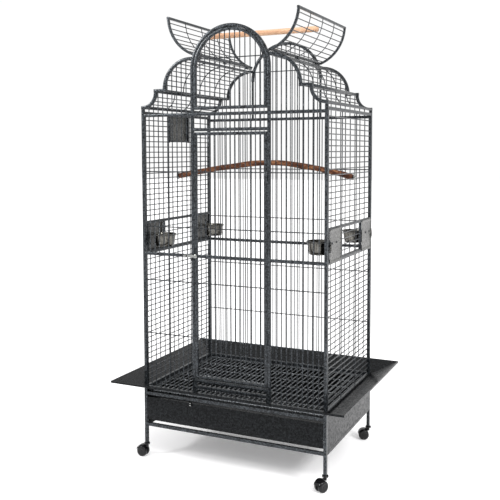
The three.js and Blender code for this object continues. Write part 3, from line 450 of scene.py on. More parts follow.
for side, s in SIDES:
    m = Maker()
    m.tube((s * POST_X, -POST_Y, BASE), (s * POST_X, -POST_Y, POST_TOP))
    m.tube((s * STILE, -POST_Y, BASE), (s * STILE, -POST_Y, TOP - HT - GAP))
    for z in (BASE + HT, MID):
        m.tube((s * (STILE_OUT - 1), -POST_Y, z), (s * (POST_IN_X + 1), -POST_Y, z), INNER, INNER)
    for k in range(1, 10):
        x = s * (STILE_OUT + k * PITCH)
        m.wire((x, -POST_Y, BASE + HT), (x, -POST_Y, MID))
        m.wire((x, -POST_Y, MID), (x, -POST_Y, TOP - HT - GAP), flare=(True, False))
        for z in CROSS:
            m.lump((x, -CROSS_Y - 1.7, z))
    for z in CROSS:
        m.wire((s * (STILE_OUT - 2), -CROSS_Y, z), (s * (POST_IN_X + 2), -CROSS_Y, z), inset=2.2)
    m.make(f"front_grille_{side}", "frame", "frame_steel", [f"front_{side}_grille"])

m = Maker()
reach = STILE_IN - GAP
for z in SILL_RAILS:
    m.tube((-reach, -POST_Y, z), (reach, -POST_Y, z))
for k in DOOR_BARS:
    m.wire((k * PITCH, -POST_Y, SILL_RAILS[0]), (k * PITCH, -POST_Y, SILL_RAILS[2]))
for s in (-1, 1):
    m.box(s * (reach - 6), s * reach, -HALF_Y + 1.6, -POST_IN_Y - 1.6, SILL_RAILS[0], SILL_RAILS[2])
m.make("sill", "frame", "frame_steel", ["front_sill"])


def crown(m, y, stile):
    """The outline above the top rail: arch, shoulders and the bars under them."""
    m.tube((-POST_IN_X + GAP, y, TOP), (POST_IN_X - GAP, y, TOP))
    m.arc(0, ARCH_Z, STILE, 0, math.pi, y, steps=32)
    for s in (-1, 1):
        m.tube((s * STILE, y, TOP + HT - 1.6), (s * STILE, y, ARCH_Z + 0.4), stile, INNER, 1.6)
        turn = (lambda a: a) if s > 0 else (lambda a: math.pi - a)
        m.arc(s * CONVEX[0], CONVEX[1], CONVEX[2], turn(0), turn(math.pi / 2 + 0.05), y,
              TUBE, TUBE - 0.1)
        m.tube((s * STEP_IN, y, STEP_Z), (s * STEP_OUT, y, STEP_Z), TUBE - 0.3, TUBE - 0.3)
        m.arc(s * CONCAVE[0], CONCAVE[1], CONCAVE[2], turn(math.pi - 0.05), turn(math.pi * 1.5), y,
              TUBE, INNER, 10)
        tab = CONCAVE[1] - CONCAVE[2]
        m.tube((s * (CONCAVE[0] - 1), y, tab), (s * HALF_X, y, tab), TUBE - 0.1, TUBE - 0.1)
        for k in range(1, 10):
            x = STILE_OUT + k * PITCH
            top = STEP_Z
            if x < STEP_IN - 3:
                top = CONVEX[1] + math.sqrt((CONVEX[2] - 2) ** 2 - (x - CONVEX[0]) ** 2)
            elif x > STEP_OUT:
                top = CONCAVE[1] - math.sqrt((CONCAVE[2] + 2) ** 2 - (CONCAVE[0] - x) ** 2)
            m.wire((s * x, y, TOP), (s * x, y, top))


m = Maker()
crown(m, -POST_Y, INNER)
m.tube((-reach, -POST_Y, HEADER), (reach, -POST_Y, HEADER))
for k in DOOR_BARS:
    m.wire((k * PITCH, -POST_Y, HEADER), (k * PITCH, -POST_Y, TOP))
m.make("crown_front", "frame", "frame_steel", ["front_crown"])

m = Maker()
crown(m, POST_Y, BACK_STILE)
for k in range(-7, 8):
    x = k * PITCH
    m.wire((x, POST_Y, TOP), (x, POST_Y, ARCH_Z + math.sqrt((STILE_IN + 4) ** 2 - x * x)))
    if abs(k) < 7:
        m.lump((x, CROSS_Y + 1.7, ARCH_WIRE))
m.wire((-STILE_IN + 5, CROSS_Y, ARCH_WIRE), (STILE_IN - 5, CROSS_Y, ARCH_WIRE), flare=PLAIN)
m.make("crown_back", "frame", "frame_steel", ["back_crown"])

m = Maker()
m.arc(0, ARCH_Z, DOOR_STILE, 0, math.pi, -POST_Y, steps=32)
m.tube((-DOOR_EDGE + 0.1, -POST_Y, WINDOW_RAIL), (DOOR_EDGE - 0.1, -POST_Y, WINDOW_RAIL),
       INNER, INNER)
for s in (-1, 1):
    m.tube((s * DOOR_STILE, -POST_Y, WINDOW_RAIL - 6), (s * DOOR_STILE, -POST_Y, ARCH_Z + 0.4),
           TUBE - 0.1, TUBE - 0.1)
m.wire((-DOOR_IN + 6, -CROSS_Y, ARCH_WIRE), (DOOR_IN - 6, -CROSS_Y, ARCH_WIRE), flare=PLAIN)
for k in DOOR_BARS:
    x = k * PITCH
    m.wire((x, -POST_Y, WINDOW_RAIL),
           (x, -POST_Y, ARCH_Z + math.sqrt((DOOR_IN + 4) ** 2 - x * x)))
    m.lump((x, -CROSS_Y - 1.7, ARCH_WIRE))
m.make("window_frame", "frame", "frame_steel", ["arch_window"])

m = Maker()
for z in (BASE + HT, MID):
    m.tube((-POST_IN_X - 1, POST_Y, z), (POST_IN_X + 1, POST_Y, z), INNER, INNER)
for s in (-1, 1):
    m.tube((s * POST_X, POST_Y, BASE), (s * POST_X, POST_Y, POST_TOP))
for k in range(-17, 18):
    m.wire((k * PITCH, POST_Y, BASE + HT), (k * PITCH, POST_Y, MID))
    m.wire((k * PITCH, POST_Y, MID), (k * PITCH, POST_Y, TOP - HT - GAP), flare=(True, False))
    for z in CROSS:
        m.lump((k * PITCH, CROSS_Y + 1.7, z))
for z in CROSS:
    m.wire((-POST_IN_X - 1.6, CROSS_Y, z), (POST_IN_X + 1.6, CROSS_Y, z), inset=2.2)
m.make("back_grille", "frame", "frame_steel", ["back_panel"])

# ---- Side panels ----

SX0, SX1 = POST_IN_X + 0.2, HALF_X - GAP
END = POST_IN_Y - GAP
RIB_Y = (-96.0, 96.0)


def side_rail(m, z0, z1):
    m.box(SX0, SX1, -END, END, z0, z1, 1.4)


def side_stile(m, y0, y1, z0, z1, inset=0.15):
    m.box(SX0 + inset, SX1 - inset, y0, y1, z0, z1, 1.0)


def side_hinge(m, y, middle, hinge, feet=False):
    """A pin outside the cage's side and its two brackets; feet reach into the wall."""
    m.turned([(1.2, middle - 20), (1.5, middle - 19.5), (1.5, middle + 19.5), (1.2, middle + 20)],
             (PIN_X, y, 0), n=12)
    for z in (middle - 21, middle + 17):
        m.box(SX1 - 1.6, HALF_X + 5.3, y - 0.2 * hinge, y + 3 * hinge, z, z + 4, 0.6)
        if feet:
            side_stile(m, y - 4 * hinge, y + 2.8 * hinge, z + 0.1, z + 3.9, 0.3)


def side_wires(m, y0, y1, heights):
    for z in heights:
        m.wire((POST_X, y0, z), (POST_X, y1, z), inset=4.4)
        for y in RIB_Y:
            if y0 < y < y1:
                m.lump((SIDE_CROSS_X + 1.7, y, z), axis=X)


def levels(z0, z1):
    """Heights of the wires between two rails, as near to PITCH apart as they divide."""
    n = round((z1 - z0) / PITCH)
    return [z0 + (z1 - z0) * k / n for k in range(1, n)]


def side_ribs(m, z0, z1):
    for y in RIB_Y:
        m.wire((SIDE_CROSS_X, y, z0), (SIDE_CROSS_X, y, z1), inset=1.6)


def lower_panel(m, s):
    low, high = BASE + TUBE, MID - HT
    side_rail(m, BASE, low)
    side_rail(m, high, high + TUBE)
    for y in (-END, END - 6):
        side_stile(m, y, y + 6, BASE + 0.3, high + 1)
    side_wires(m, -END + 1, END - 1, levels(low, high))
    side_ribs(m, low - 1.6, high + 1.6)


def band(m, s):
    z0, z1 = BAND_LOW, BAND_TOP - 8
    side_rail(m, z0, z0 + 3)
    side_rail(m, z1, BAND_TOP)
    for y in (-END, END - 6):
        side_stile(m, y, y + 6, z0 + 0.2, BAND_TOP - 0.2)
    edges = []
    for y0, y1, hinge in FEEDERS.values():
        low, high = y0 + 2, y1 - 2
        edges += [low, high]
        side_stile(m, low - 6, low, z0 + 0.1, BAND_TOP - 0.1)
        side_stile(m, high, min(high + 6, END), z0 + 0.1, BAND_TOP - 0.1)
        y = y0 - 0.5 if hinge < 0 else y1 + 0.5
        side_hinge(m, y, FEEDER_HINGE_Z, hinge, feet=True)
    for z in levels(z0, z1):
        m.wire((POST_X, edges[1] + 1, z), (POST_X, edges[2] - 1, z), inset=4.6)
        for y in RIB_Y:
            if edges[1] < y < edges[2]:
                m.lump((SIDE_CROSS_X + 1.7, y, z), axis=X)
    side_ribs(m, z0 + 1, z1 + 1.6)


def upper_panel(m, s):
    low, high = BAND_TOP + GAP, SIDE_TOP - HT
    base = low + 3
    side_rail(m, low, base)
    side_rail(m, high, high + TUBE)
    for y in (-END, END - 6):
        side_stile(m, y, y + 6, low + 0.2, high + 1)
    if s > 0:
        side_wires(m, -END + 1, END - 1, levels(base, high))
        side_ribs(m, base - 1, high + 1.6)
        return
    inner = NEST_Y - 2
    for z in levels(base, high):
        if z < NEST_Z[0]:
            side_wires(m, -END + 1, END - 1, [z])
        else:
            side_wires(m, -END + 1, -inner - 2, [z])
            side_wires(m, inner + 2, END - 1, [z])
    for y in (-inner - 6, inner):
        side_stile(m, y, y + 6, NEST_Z[0], high + 1)
    m.box(SX0, SX1, -inner - 6, inner + 6, NEST_Z[0], NEST_Z[0] + 6, 1.0)
    side_ribs(m, base - 1, high + 1.6)
    side_hinge(m, NEST_Y + 0.5, sum(NEST_Z) / 2, 1)


pair("side_lower_{}", "frame", "frame_steel", "{}_lower_grille", lower_panel)
pair("side_band_{}", "frame", "frame_steel", "{}_feeder_band", band)
pair("side_upper_{}", "frame", "frame_steel", "{}_upper_grille", upper_panel)


def hinged_plate(m, y0, y1, z0, z1, hinge, knuckle):
    """An outside plate with rounded corners, a pressed field and a rolled knuckle."""
    x0, x1 = HALF_X + GAP, HALF_X + GAP + SHEET
    cy, cz, w, h = (y0 + y1) / 2, (z0 + z1) / 2, y1 - y0, z1 - z0
    rings = []
    for inset, x, r in ((0.5, x0, 4.5), (0, x0 + 0.5, 5), (0, x1 - 0.6, 5), (0.6, x1, 4.4),
                        (9, x1, 3.5), (10.2, x1 - 0.9, 3), (11.5, x1 - 1.0, 2.5)):
        rings.append([(x, cy + u, cz + v) for u, v in rounded(w - 2 * inset, h - 2 * inset, r, 4)])
    m.rings(rings)
    y = y0 - 0.5 if hinge < 0 else y1 + 0.5
    k0, k1 = knuckle
    m.lathe([(1.9, k0), (3.2, k0), (3.4, k0 + 0.3), (3.4, k1 - 0.3), (3.2, k1), (1.9, k1)],
            (PIN_X, y, 0), n=20)


for place, (y0, y1, hinge) in FEEDERS.items():
    cup_y = y0 + CUP_ALONG if hinge < 0 else y1 - CUP_ALONG
    for side, s in SIDES:
        m = Maker()
        hinged_plate(m, y0, y1, *PLATE_Z, hinge, (922, 952))
        m.lathe([(46.4, RING_Z - 3.7), (46.8, RING_Z - 4), (48.1, RING_Z - 4), (48.5, RING_Z - 3.7),
                 (48.5, RING_Z - 0.3), (48.1, RING_Z), (46.8, RING_Z), (46.4, RING_Z - 0.3)],
                (CUP_X, cup_y, 0), n=48)
        for dy in (-BRACKET_ALONG, BRACKET_ALONG):
            m.box(CUP_X + 40, HALF_X + GAP + 1, cup_y + dy - 3, cup_y + dy + 3,
                  RING_Z - 3.9, RING_Z - 0.1)
        if s < 0:
            m.mirror()
        m.make(f"feeder_plate_{side}_{place}", f"feeder_{side}_{place}", "sheet_steel",
               [f"feeder_door_{side}_{place}"], look="plate")
        m = Maker()
        for dy in (-BRACKET_ALONG, BRACKET_ALONG):
            m.turned([(4, 0), (4, 0.8), (3.5, 1.8), (2.2, 2.3), (0.3, 2.4)],
                     (HALF_X + GAP + SHEET - 0.4, cup_y + dy, RING_Z - 2), X, 16)
        if s < 0:
            m.mirror()
        m.make(f"feeder_screws_{side}_{place}", f"feeder_{side}_{place}", "frame_steel")
        m = Maker()
        wall, foot, z0, rim = 45.9, CUP_FOOT, CUP_Z, RING_Z + GAP
        profile = [(0.01, z0 + 1.2), (8, z0 + 1.0), (foot - 5, z0 + 1.0), (foot - 3, z0),
                   (foot - 1, z0 + 0.3), (foot + 0.2, z0 + 2), (foot + 3, z0 + 14),
                   (wall - 0.9, rim - 6), (wall - 0.2, rim),
                   (CUP_RIM - 0.7, rim), (CUP_RIM, rim + 0.8), (CUP_RIM, rim + 1.9),
                   (CUP_RIM - 0.7, rim + 2.7), (wall - 0.7, rim + 2.7), (wall - 1.6, rim + 1.4),
                   (wall - 2.2, rim - 6), (foot + 1.6, z0 + 14), (foot - 1.8, z0 + 3.4),
                   (foot - 4, z0 + 1.9), (8, z0 + 1.8), (0.01, z0 + 1.9)]
        m.lathe(profile, (CUP_X, cup_y, 0), n=56)
        if s < 0:
            m.mirror()
        # The seed cups take the darker cup steel, which is painted dark reflection.
        m.make(f"seed_cup_{side}_{place}", f"cup_{side}_{place}", "bright_steel",
               [f"cup_{side}_{place}"], 60, "cup")

m = Maker()
middle = sum(NEST_Z) / 2
hinged_plate(m, -NEST_Y, NEST_Y, *NEST_Z, 1, (middle - 16, middle + 16))
m.turned([(3, -0.5), (3, 2.2), (5, 3.2), (5, 6.8), (4.2, 7.4), (0.5, 7.6)],
         (HALF_X + GAP + SHEET - 0.1, -NEST_Y + 12, middle), X, 20)
m.mirror()
m.make("nest_plate", "nest_door", "sheet_steel", ["nest_door"], look="plate")

# ---- Roof ----


def shoulder(m, s):
    y0, y1 = -ROOF_HALF_Y, ROOF_HALF_Y
    m.box(170, 180, y0, y1, 1663.5, 1671.5, 1.2)
    m.box(CONVEX[0] + 116, CONVEX[0] + 125, y0, y1, STEP_Z - 3, STEP_Z + 3, 1.0)
    m.box(CONCAVE[0] - 65.5, CONCAVE[0] - 57, y0, y1, STEP_Z - 9, STEP_Z + 3, 1.0)
    step = (STEP_IN + STEP_OUT) / 2
    m.wire((step, y0 + 1, STEP_Z), (step, y1 - 1, STEP_Z), inset=5)
    m.box(CONCAVE[0] - 4, SX1, y0, y1, CONCAVE[1] - 66.3, CONCAVE[1] - 57, 1.2)
    for y in (y0 + 3.1, y1 - 3.1):
        m.arc(CONVEX[0], CONVEX[1], CONVEX[2], 0, math.pi / 2, y, 6, 6, 16, 0.8)
        m.box(STEP_IN, STEP_OUT - 1, y - 2.9, y + 2.9, STEP_Z - 2.8, STEP_Z + 2.8, 0.8)
        m.arc(CONCAVE[0], CONCAVE[1], CONCAVE[2], math.pi, math.pi * 1.5, y, 6, 6, 10, 0.8)
    for (cx, cz, r), spaces, start in ((CONVEX, 9, 0), (CONCAVE, 5, math.pi)):
        for k in range(1, spaces):
            a = start + math.pi / 2 * k / spaces
            x, z = cx + r * math.cos(a), cz + r * math.sin(a)
            m.wire((x, y0 + 1, z), (x, y1 - 1, z), inset=4.8)
    rib_in = CONVEX[2] - WIRE - 0.2
    rib_out = CONCAVE[2] + WIRE + 0.2
    for y in ROOF_RIBS:
        m.arc_wire(CONVEX[0], CONVEX[1], rib_in, 0, math.pi / 2, y)
        m.arc_wire(CONCAVE[0], CONCAVE[1], rib_out, math.pi, math.pi * 1.5, y, 8)
        m.wire((CONVEX[0] + 118, y, STEP_Z - 2.6), (CONCAVE[0] - 60, y, STEP_Z - 2.6), flare=PLAIN)
        for k in range(1, 9):
            a = math.pi / 2 * k / 9
            d = outward(a)
            m.lump(Vector((CONVEX[0], y, CONVEX[1])) + d * (CONVEX[2] - 1.7), axis=d)
        for k in range(1, 5):
            a = math.pi + math.pi / 2 * k / 5
            d = outward(a)
            m.lump(Vector((CONCAVE[0], y, CONCAVE[1])) + d * (CONCAVE[2] + 1.7), axis=d)


pair("shoulder_{}", "frame", "frame_steel", "roof_shoulder_{}", shoulder)


def flap(m, s):
    tilt = 5 / (FLAP_OUT - 5)
    a0, a1 = FLAP_ARC[0] + tilt, FLAP_ARC[1] - tilt
    y = FLAP_HALF_Y
    r = (FLAP_IN + FLAP_OUT) / 2

    def end_bar(a, radius, section, y0, y1):
        d = outward(a)
        at = Vector((0, 0, ARCH_Z)) + d * radius
        m.sweep([at + Y * y0, at + Y * y1], section, d)

    for a in (a0, a1):
        end_bar(a, r, rounded(10, 10, 1.5), -y, y)
    for yy in (-y + 5.1, y - 5.1):
        m.arc(0, ARCH_Z, r, a0, a1, yy, 10, 10, 18, 1.5)
    wire_r = r + 1.5
    for k in range(1, 9):
        a = FLAP_ARC[0] + (FLAP_ARC[1] - FLAP_ARC[0]) * k / 9
        d = outward(a)
        at = Vector((0, 0, ARCH_Z)) + d * wire_r
        m.wire(at + Y * (-y + 5), at + Y * (y - 5), inset=5)
        for yy in ROOF_RIBS:
            m.lump(Vector((0, yy, ARCH_Z)) + d * (wire_r - 1.8), axis=d)
    for yy in ROOF_RIBS:
        m.arc_wire(0, ARCH_Z, wire_r - WIRE - 0.4, a0, a1, yy, 18, WIRE / 2 + 0.2)
    for yy in (-230, 0, 230):
        profile = [(2.5, -11), (4.2, -11), (4.5, -10.6), (4.5, 10.6), (4.2, 11), (2.5, 11)]
        m.lathe(profile, (FLAP_AXIS[0], yy, FLAP_AXIS[1]), Y, 20)
    pivot = Matrix.Translation(Vector((FLAP_AXIS[0], 0, FLAP_AXIS[1])) * MM)
    m.turn(pivot @ Matrix.Rotation(FLAP_OPEN, 4, "Y") @ pivot.inverted())


pair("flap_{}", "flap_{}", "frame_steel", "roof_flap_{}", flap)


def rod(m, s):
    x, z = FLAP_AXIS
    m.turned([(1.4, -FLAP_HALF_Y + 2), (2, -FLAP_HALF_Y + 2.7), (2, FLAP_HALF_Y - 2.7),
              (1.4, FLAP_HALF_Y - 2)], (x, 0, z), Y, 16)
    for y in (-260, -90, 90, 260):
        m.box(x - 1, x + 5.4, y - 5, y + 5, 1671.8, 1674.8, 0.6)
        m.box(x - 0.9, x + 0.9, y - 4.9, y + 4.9, 1672, z, 0.4)


pair("rod_{}", "frame", "bright_steel", "flap_rod_{}", rod)

# ---- Door ----

HINGE_X, HINGE_Y, HINGE_HALF = 161.0, -303.4, 18.0
m = Maker()
for z in (DOOR_BOTTOM, DOOR_TOP):
    m.tube((-DOOR_EDGE + 0.1, -POST_Y, z), (DOOR_EDGE - 0.1, -POST_Y, z), INNER, INNER)
m.tube((-DOOR_IN - 1, -POST_Y, MID), (DOOR_IN + 1, -POST_Y, MID), INNER, INNER)
for s in (-1, 1):
    m.tube((s * DOOR_STILE, -POST_Y, DOOR_BOTTOM - 6), (s * DOOR_STILE, -POST_Y, DOOR_TOP + 6))
for k in DOOR_BARS:
    m.wire((k * PITCH, -POST_Y, DOOR_BOTTOM), (k * PITCH, -POST_Y, MID))
    m.wire((k * PITCH, -POST_Y, MID), (k * PITCH, -POST_Y, DOOR_TOP))
    for z in CROSS:
        m.lump((k * PITCH, -CROSS_Y - 1.7, z))
for z in CROSS:
    m.wire((-DOOR_IN - 1.6, -CROSS_Y, z), (DOOR_IN + 1.6, -CROSS_Y, z), inset=2.2)
for z in DOOR_HINGES.values():
    m.box(DOOR_IN + 2, HINGE_X - 1.6, -HALF_Y - 2.6, -HALF_Y + 1,
          z - HINGE_HALF, z + HINGE_HALF, 0.8)
    profile = [(1.75, -HINGE_HALF), (3, -HINGE_HALF), (3.2, -17.7), (3.2, 17.7),
               (3, HINGE_HALF), (1.75, HINGE_HALF)]
    m.lathe(profile, (HINGE_X, HINGE_Y, z), n=20)
m.make("door_leaf", "door", "frame_steel", ["front_door"])
for name, z in DOOR_HINGES.items():
    m = Maker()
    m.turned([(1.0, z - 24), (1.4, z - 23.6), (1.4, z + 23.6), (1.0, z + 24)],
             (HINGE_X, HINGE_Y, 0), n=16)
    for low in (z - 24.3, z + 18.3):
        m.box(HINGE_X - 1.2, STILE_OUT - 2, HINGE_Y - 2, -HALF_Y - 0.2, low, low + 6, 0.8)
    m.make(f"hinge_pin_{name}", "frame", "frame_steel", [f"door_hinge_{name}"])

m = Maker()
m.box(-STILE_OUT + 1.6, -STILE_IN - 1.6, -HALF_Y - 5.5, -HALF_Y - 0.1, 855, 864.4, 1.2)
m.make("latch_block", "frame", "frame_steel", ["latch_stop"])

m = Maker()
lx, ly = -DOOR_STILE, -HALF_Y - GAP
m.turned([(7.6, 0), (8, 0.4), (8, 4.4), (6.8, 5.6), (3, 6), (0.4, 6)], (lx, ly, MID), -Y, 28)
rings = []
for y, inset in ((-2, 0.4), (-2.4, 0), (-4.6, 0), (-5, 0.4)):
    outline = rounded(56 - 2 * inset, 11 - 2 * inset, 5.1 - inset, 5)
    rings.append([(lx - 24 + u, ly + y, MID + v) for u, v in outline])
m.rings([list(reversed(r)) for r in rings])
m.turned([(5, 2), (7, 3), (7, 9.6), (6.2, 10.6), (3, 11), (0.4, 11)], (lx - 46, ly, MID), -Y, 28)
m.make("latch_arm", "latch", "bright_steel", ["door_latch"])

# ---- Tray, grate and skirts ----

m = Maker()
for y in (-GRATE_Y, GRATE_Y - GRATE_BAR):
    m.box(-GRATE_X, GRATE_X, y, y + GRATE_BAR, *GRATE_Z, 1.0)
for s in (-1, 1):
    m.box(s * (GRATE_X - GRATE_BAR), s * 391.9, -285.9, 285.9, 285, 293.9, 1.0)
for k in range(-17, 18):
    m.wire((k * PITCH, -283, 290.4), (k * PITCH, 283, 290.4), inset=3)
    for y in GRATE_ROWS:
        m.lump((k * PITCH, y, 288.5), 2.1, 0.6, Z)
for y in GRATE_ROWS:
    m.wire((-390, y, 287.2), (390, y, 287.2), flare=PLAIN)
# The grate wires take the lighter grate coat, which is painted highlight.
m.make("grate_wires", "grate", "frame_steel", ["grate"], look="grate")

m = Maker()
m.box(-190.4, -177.6, -303.4, -299.2, 249.7, 268.3, 1.6)
m.make("tray_clip", "tray", "sheet_steel")
m = Maker()
m.turned([(3, 0), (3, 0.4), (2.4, 1.0), (0.3, 1.2)], (-184, -303.2, 262), -Y, 20)
m.box(-188, -180, -303.9, -303.0, 251.5, 255, 0.4)
m.make("tray_clip_rivet", "tray", "bright_steel")

# Packing strips close the slot beside and behind the grate. At the front it stays open.
m = Maker()
for s in (-1, 1):
    m.box(s * (POST_IN_X + 0.5), s * (HALF_X - 0.6), -END + 0.4, END - 0.4, *PACKING_Z, 1.0)
m.box(-POST_IN_X + 0.6, POST_IN_X - 0.6, POST_IN_Y + 0.5, HALF_Y - 0.6, *PACKING_Z, 1.0)
m.make("packing_strips", "frame", "frame_steel")

# ---- Perches ----

m = Maker()
profile = [(10.4, -TOP_PERCH_HALF), (TOP_PERCH_R, -258.2)]
for i in range(1, 40):
    wander = TOP_PERCH_R - 0.06 - 0.05 * math.sin(i * 2.1)
    profile.append((wander, -258.2 + 516.4 * i / 40))
profile += [(TOP_PERCH_R, 258.2), (10.4, TOP_PERCH_HALF)]
m.turned(profile, (0, 0, TOP_PERCH_Z), X, 36)
m.make("top_dowel", "top_perch", "pale_wood", ["top_perch"], 50)


def spline(points, t):
    """Catmull-Rom through the points, t from 0 to 1."""
    n = len(points) - 1
    k = min(int(t * n), n - 1)
    u = t * n - k
    ends = [points[0] * 2 - points[1]] + points + [points[-1] * 2 - points[-2]]
    a, b, c, d = ends[k:k + 4]
    return 0.5 * (2 * b + (c - a) * u + (2 * a - 5 * b + 4 * c - d) * u * u
                  + (3 * b - a - 3 * c + d) * u ** 3)


route = [Vector(p) for p in (
    (-BRANCH_HALF, 0, BRANCH_Z), (-200, 6, 1225), (40, 12, 1250), (240, 30, 1227),
    (BRANCH_HALF, BRANCH_BACK, BRANCH_Z))]
m = Maker()
rings = []
STEPS, ROUND = 150, 28
for j in range(STEPS + 1):
    t = j / STEPS
    p = spline(route, t)
    ahead = (spline(route, min(t + 0.01, 1)) - spline(route, max(t - 0.01, 0))).normalized()
    if j in (0, STEPS):
        ahead = X
    side = Z.cross(ahead).normalized()
    up = ahead.cross(side)
    girth = 11.6 + 0.5 * math.sin(t * 21) + 0.35 * math.sin(t * 47 + 1)
    ring = []
    for i in range(ROUND):
        a = 2 * math.pi * i / ROUND
        groove = math.sin(3 * a + t * 38) + 0.35 * math.sin(5 * a - t * 23 + 2)
        knot = 0.9 * math.exp(-((t - 0.37) / 0.012) ** 2 - ((a - 4.2) / 0.6) ** 2)
        r = girth + 0.85 * groove * (0.7 + 0.3 * math.sin(t * 9)) + knot
        if j in (0, STEPS):
            r -= 1.2
        ring.append(p + side * (r * math.cos(a)) + up * (r * math.sin(a)))
    rings.append(ring)
m.rings(rings)
m.make("branch", "frame", "red_wood", ["inner_perch"], 70)

for side, s in SIDES:
    m = Maker()
    py = 0 if s < 0 else BRANCH_BACK
    wx = POST_X + WIRE / 2 + GAP
    m.turned([(15.6, 0), (16, 0.4), (16, 1.6), (15.6, 2), (6, 2)], (wx, py, BRANCH_Z), X, 32)
    m.turned([(3, 397.0), (3, wx + 8.6), (2.4, wx + 9)], (0, py, BRANCH_Z), X, 16)
    m.turned([(5.2, 1), (5.2, 3), (4, 5.6), (3.2, 6)], (wx + 0.6, py, BRANCH_Z), X, 20)
    for t in (-1, 1):
        rings = []
        for y, w, h in ((2.5, 4.2, 3), (6, 3.2, 4.6), (9.5, 2.6, 8), (11.4, 2.4, 7),
                        (12, 1.6, 4.6)):
            ring = [(wx + 3.6 + u, py + t * y, BRANCH_Z + v) for u, v in rounded(w, h, w / 2.4, 2)]
            rings.append(ring if t < 0 else list(reversed(ring)))
        m.rings(rings)
    if s < 0:
        m.mirror()
    m.make(f"wing_bolt_{side}", "frame", "bright_steel", [f"perch_bolt_{side}"])

# ---- Casters ----


def moved(degrees, x, y):
    """The place of a caster: turned about its stem, and set under its leg."""
    turn = Matrix.Rotation(math.radians(degrees), 4, "Z")
    return Matrix.Translation((x * MM, y * MM, 0)) @ turn


for place, degrees in CASTER_TURNS.items():
    x = (-1 if place.endswith("left") else 1) * POST_X
    y = (-1 if place.startswith("front") else 1) * POST_Y
    at = moved(degrees, x, y)
    centre = (TRAIL, 0, WHEEL_Z)
    m = Maker()
    for t in (-1, 1):
        profile = [(4, 4.8), (10, 4.7), (21.9, 4.7), (23.0, 5.6), (WHEEL_R, 7), (WHEEL_R, 12),
                   (22.6, 14.6), (21.0, 16.8), (18.2, 18.3), (13, 19.2), (12, 18.7), (7.5, 19.0),
                   (6.9, 19.7), (3, 20), (0.01, 20), (0.01, 4.8)]
        m.lathe(profile, centre, Y * t, 44)
    m.turned([(4, -6), (4, 6)], centre, Y, 20)
    m.turn(at)
    m.make(f"twin_wheel_{place}", f"wheel_{place}", "black_plastic", [f"caster_wheel_{place}"], 35)
    m = Maker()
    m.turned([(6, 43), (6, CASTER_TOP - 7.6)], (0, 0, 0), Z, 20)
    m.turned([(11, CASTER_TOP - 8), (12.5, CASTER_TOP - 7.2), (12.5, CASTER_TOP - 1.6),
              (11.6, CASTER_TOP - 0.4), (9, CASTER_TOP)], (0, 0, 0), Z, 28)
    m.box(TRAIL - 9, TRAIL + 9, -3.5, 3.5, WHEEL_Z + 5, WHEEL_Z + 26, 1.0)
    m.box(-6, TRAIL, -3.5, 3.5, 40, 51, 1.4)
    shares = [i / 8 for i in range(9)]
    section = [(-16 + 32 * a, 27.4 - 1.6 * (2 * a - 1) ** 4) for a in shares]
    section += [(-15.4 + 30.8 * a, 25.4 - 0.2 * (2 * a - 1) ** 4) for a in reversed(shares)]
    rings = []
    for i in range(HOOD_STEPS + 1):
        a = HOOD_START + HOOD_SWEEP * i / HOOD_STEPS
        d = outward(a)
        rings.append([Vector(centre) + Y * u + d * v for u, v in section])
    m.rings(rings)
    m.turn(at)
    m.make(f"wheel_hood_{place}", f"caster_{place}", "black_plastic", [f"caster_hood_{place}"], 50)

# ---- Carried-over CAD nodes ----

SLOTS = {row["node"]: row["material_slot"] for row in frame["record"]["subparts"]}
EASED = {
    "leg_front_left": 1.6, "leg_front_right": 1.6, "leg_back_left": 1.6, "leg_back_right": 1.6,
    "stand_front_rail": 1.6, "lower_front_rail": 1.6, "apron_left": 0.7, "apron_right": 0.7,
    "apron_back": 0.7, "skirt_front": 0.35, "skirt_right": 0.35, "skirt_back": 0.35,
    "skirt_left": 0.35, "tray": 0.5,
}
for name, node in frame["nodes"].items():
    mat = MATERIALS[SLOTS[name]]
    if not node.data.materials:
        node.data.materials.append(mat)
    for held in node.material_slots:
        held.material = mat
    if name in EASED:
        bevel = node.modifiers.new("eased edges", "BEVEL")
        bevel.width = EASED[name] * MM
        bevel.segments = 2
        bevel.limit_method = "ANGLE"
        bevel.angle_limit = math.radians(40)
        bevel.use_clamp_overlap = True

# ---- Floor, light and camera ----

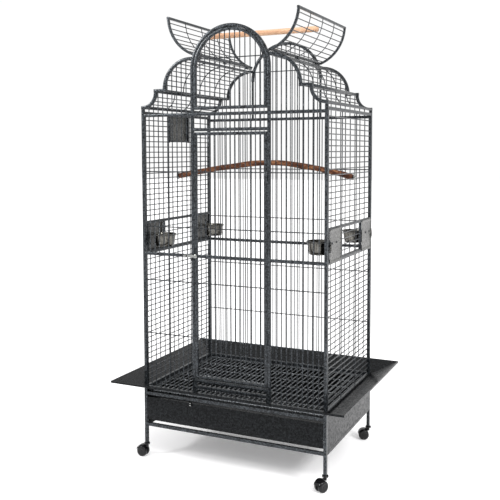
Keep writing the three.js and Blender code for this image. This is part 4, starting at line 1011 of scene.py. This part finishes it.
floor_mat = Nodes("studio floor")
floor_mat.link("Base Color", floor_mat.ramp(
    floor_mat.noise(3, 2), (0.3, (0.90, 0.895, 0.90)), (0.7, (0.93, 0.925, 0.93))))
floor_mat.link("Roughness", 0.75)
floor_mat.link("Emission Color", (0.9, 0.895, 0.9, 1))
floor_mat.link("Emission Strength", 0.22)
mesh = bpy.data.meshes.new("floor")
f = 30  # half the floor's width in metres
mesh.from_pydata([(-f, -f, 0), (f, -f, 0), (f, f, 0), (-f, f, 0)], [], [(0, 1, 2, 3)])
mesh.materials.append(floor_mat.mat)
floor = bpy.data.objects.new("floor", mesh)
bpy.context.scene.collection.objects.link(floor)

world = bpy.data.worlds.new("studio")
world.use_nodes = True
world.node_tree.nodes["Background"].inputs["Color"].default_value = (1, 1, 1, 1)
world.node_tree.nodes["Background"].inputs["Strength"].default_value = 1.02
bpy.context.scene.world = world
bpy.context.scene.view_settings.view_transform = "Standard"


def area(name, at, to, size, power):
    light = bpy.data.lights.new(name, "AREA")
    light.shape = "DISK"
    light.size = size
    light.energy = power
    lamp = bpy.data.objects.new(name, light)
    lamp.location = at
    lamp.rotation_euler = (Vector(to) - Vector(at)).to_track_quat("-Z", "Y").to_euler()
    bpy.context.scene.collection.objects.link(lamp)


area("key", (3.4, -1.6, 2.6), (0, 0, 0.9), 1.0, 120)
area("fill", (-2.4, -2.8, 2.6), (0, 0, 1.0), 0.7, 70)
sun_light = bpy.data.lights.new("sun", "SUN")
sun_light.energy = 1.3
sun_light.angle = math.radians(35)
sun = bpy.data.objects.new("sun", sun_light)
sun.rotation_euler = (math.radians(28), math.radians(16), math.radians(10))
bpy.context.scene.collection.objects.link(sun)

camera_data = bpy.data.cameras.new("camera")
camera_data.sensor_width = 36
camera_data.lens = 55.60859
camera_data.shift_x = 0.021358
camera_data.shift_y = -0.09
camera_data.dof.use_dof = False
camera = bpy.data.objects.new("camera", camera_data)
yaw, pitch, roll = 0.444364, 0.069061, -0.003576
camera.location = (1.3438, -3.032444, 1.297589)
camera.rotation_euler = (
    Matrix.Rotation(yaw, 3, "Z") @ Matrix.Rotation(math.pi / 2 - pitch, 3, "X")
    @ Matrix.Rotation(roll, 3, "Z")
).to_euler()
bpy.context.scene.collection.objects.link(camera)
bpy.context.scene.camera = camera
